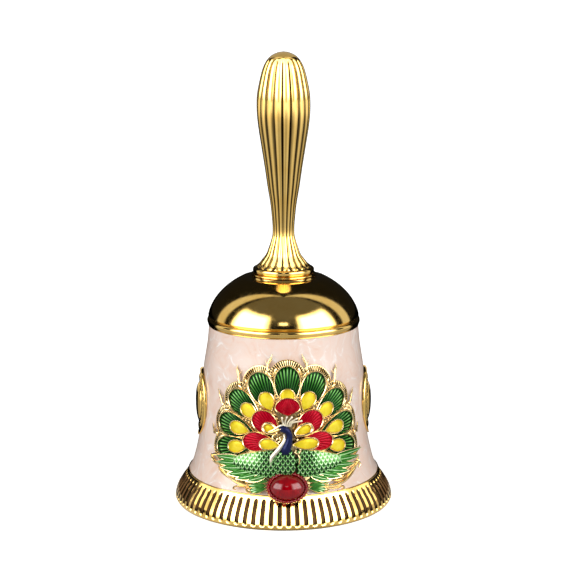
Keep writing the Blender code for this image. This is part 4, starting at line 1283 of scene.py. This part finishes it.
def add_floor():
    """A wide pale floor. The gold sees it brighter far off and under the soft boxes, and dark behind."""
    floor = Finish("pale_floor", None)
    place = floor.add("NewGeometry").outputs["Position"]
    away = floor.turn_from_camera(place)
    under = floor.do("MULTIPLY", floor.band(away, *BOX_TURN_DEG), FLOOR_SEEN_UNDER_BOX)
    seen = floor.do("MULTIPLY_ADD", floor.edge(away, *FLOOR_TURN_DEG), FLOOR_SEEN, under)
    far = floor.edge(floor.vector("LENGTH", place), *FLOOR_FADE)
    seen = floor.do("MULTIPLY", seen, floor.do("MULTIPLY_ADD", far, FLOOR_FAR_GAIN, 1.0))
    ray = floor.add("LightPath").outputs
    glow = floor.do("MULTIPLY", ray["Is Camera Ray"], FLOOR_GLOW)
    look = {
        "Base Color": floor.mix(ray["Is Glossy Ray"], (0.88, 0.88, 0.88), (0.0, 0.0, 0.0)),
        "Roughness": 0.9,
        "Specular IOR Level": 0.0,
        "Emission Color": (1.0, 1.0, 1.0),
        "Emission Strength": floor.do("MULTIPLY_ADD", ray["Is Glossy Ray"], seen, glow),
    }
    floor.look(look)
    mesh = bpy.data.meshes.new("floor")
    work = bmesh.new()
    bmesh.ops.create_grid(work, x_segments=1, y_segments=1, size=30.0)
    work.to_mesh(mesh)
    work.free()
    mesh.materials.append(floor.material)
    obj = bpy.data.objects.new("floor", mesh)
    obj.location.z = -0.0001
    bpy.context.scene.collection.objects.link(obj)


def build_studio():
    add_camera()
    add_world()
    add_floor()
    skirt, handle = ["bell_skirt"], ["handle_ribbed"]
    bosses = [f"side_boss_{name}_oval" for _, name in SIDES]
    add_card("skirt_card", 41.0, 3.0, (1.9, 0.85), SKIRT_CARD_RADIANCE, skirt)
    for side, _ in SIDES:
        add_card(f"skirt_side_card_{side}", 27.0, 3.0, (0.34, 0.3), SIDE_CARD_RADIANCE, skirt, 97.0 * side)
    for side, _ in SIDES:
        add_card(f"boss_card_{side}", 8.0, 27.0, (0.5, 0.45), BOSS_CARD_RADIANCE, bosses, 152.0 * side)
    for low_edge, radiance in HANDLE_CARDS:
        half = 0.5 * (HANDLE_CARDS_TOP_DEG - low_edge)
        size = (1.15, 2.0 * CARD_DISTANCE * math.tan(math.radians(half)))
        add_card(f"handle_card_{low_edge}", low_edge + half, 95.0, size, radiance, handle)
    add_card("handle_top_card", 125.0, 118.0, (0.6, 0.8), CAP_CARD_RADIANCE, handle)
    bpy.context.scene.view_settings.view_transform = "Standard"


# ---------------------------------------------------------------- everything
def build_all():
    gold = gold_finish("polished_gold", "gold_plate", (0.95, 0.64, 0.20), (0.88, 0.55, 0.14), 0.06, 0.14)
    relief = gold_finish("relief_gold", "gold_plate", (1.0, 0.80, 0.42), (0.84, 0.56, 0.24), 0.10, 0.2)
    steel = gold_finish("plated_steel", "plated_steel", (0.72, 0.64, 0.48), (0.6, 0.52, 0.38), 0.18, 0.32)
    pearl = pearl_finish()
    green, red, yellow, navy = (enamel_finish(*enamel) for enamel in ENAMELS)
    ruby = ruby_finish()

    build_casting(gold)
    build_waist(pearl, gold)
    build_handle(gold)
    build_plate(relief)
    build_feathers(green, yellow, red, relief)
    build_sprigs(relief)
    build_wings(green, relief)
    build_bird(green, navy, relief)
    build_scrolls(relief)
    build_leaves(green, relief)
    build_ruby(ruby)
    build_bosses(gold)
    build_hardware(steel, gold)
    build_studio()


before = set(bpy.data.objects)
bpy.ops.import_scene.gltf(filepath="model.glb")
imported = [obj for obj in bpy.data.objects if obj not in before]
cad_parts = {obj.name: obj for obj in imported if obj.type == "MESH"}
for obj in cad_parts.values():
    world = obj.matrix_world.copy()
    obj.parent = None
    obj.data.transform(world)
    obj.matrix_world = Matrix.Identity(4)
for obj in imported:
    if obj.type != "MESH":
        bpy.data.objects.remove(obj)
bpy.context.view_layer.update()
build_all()
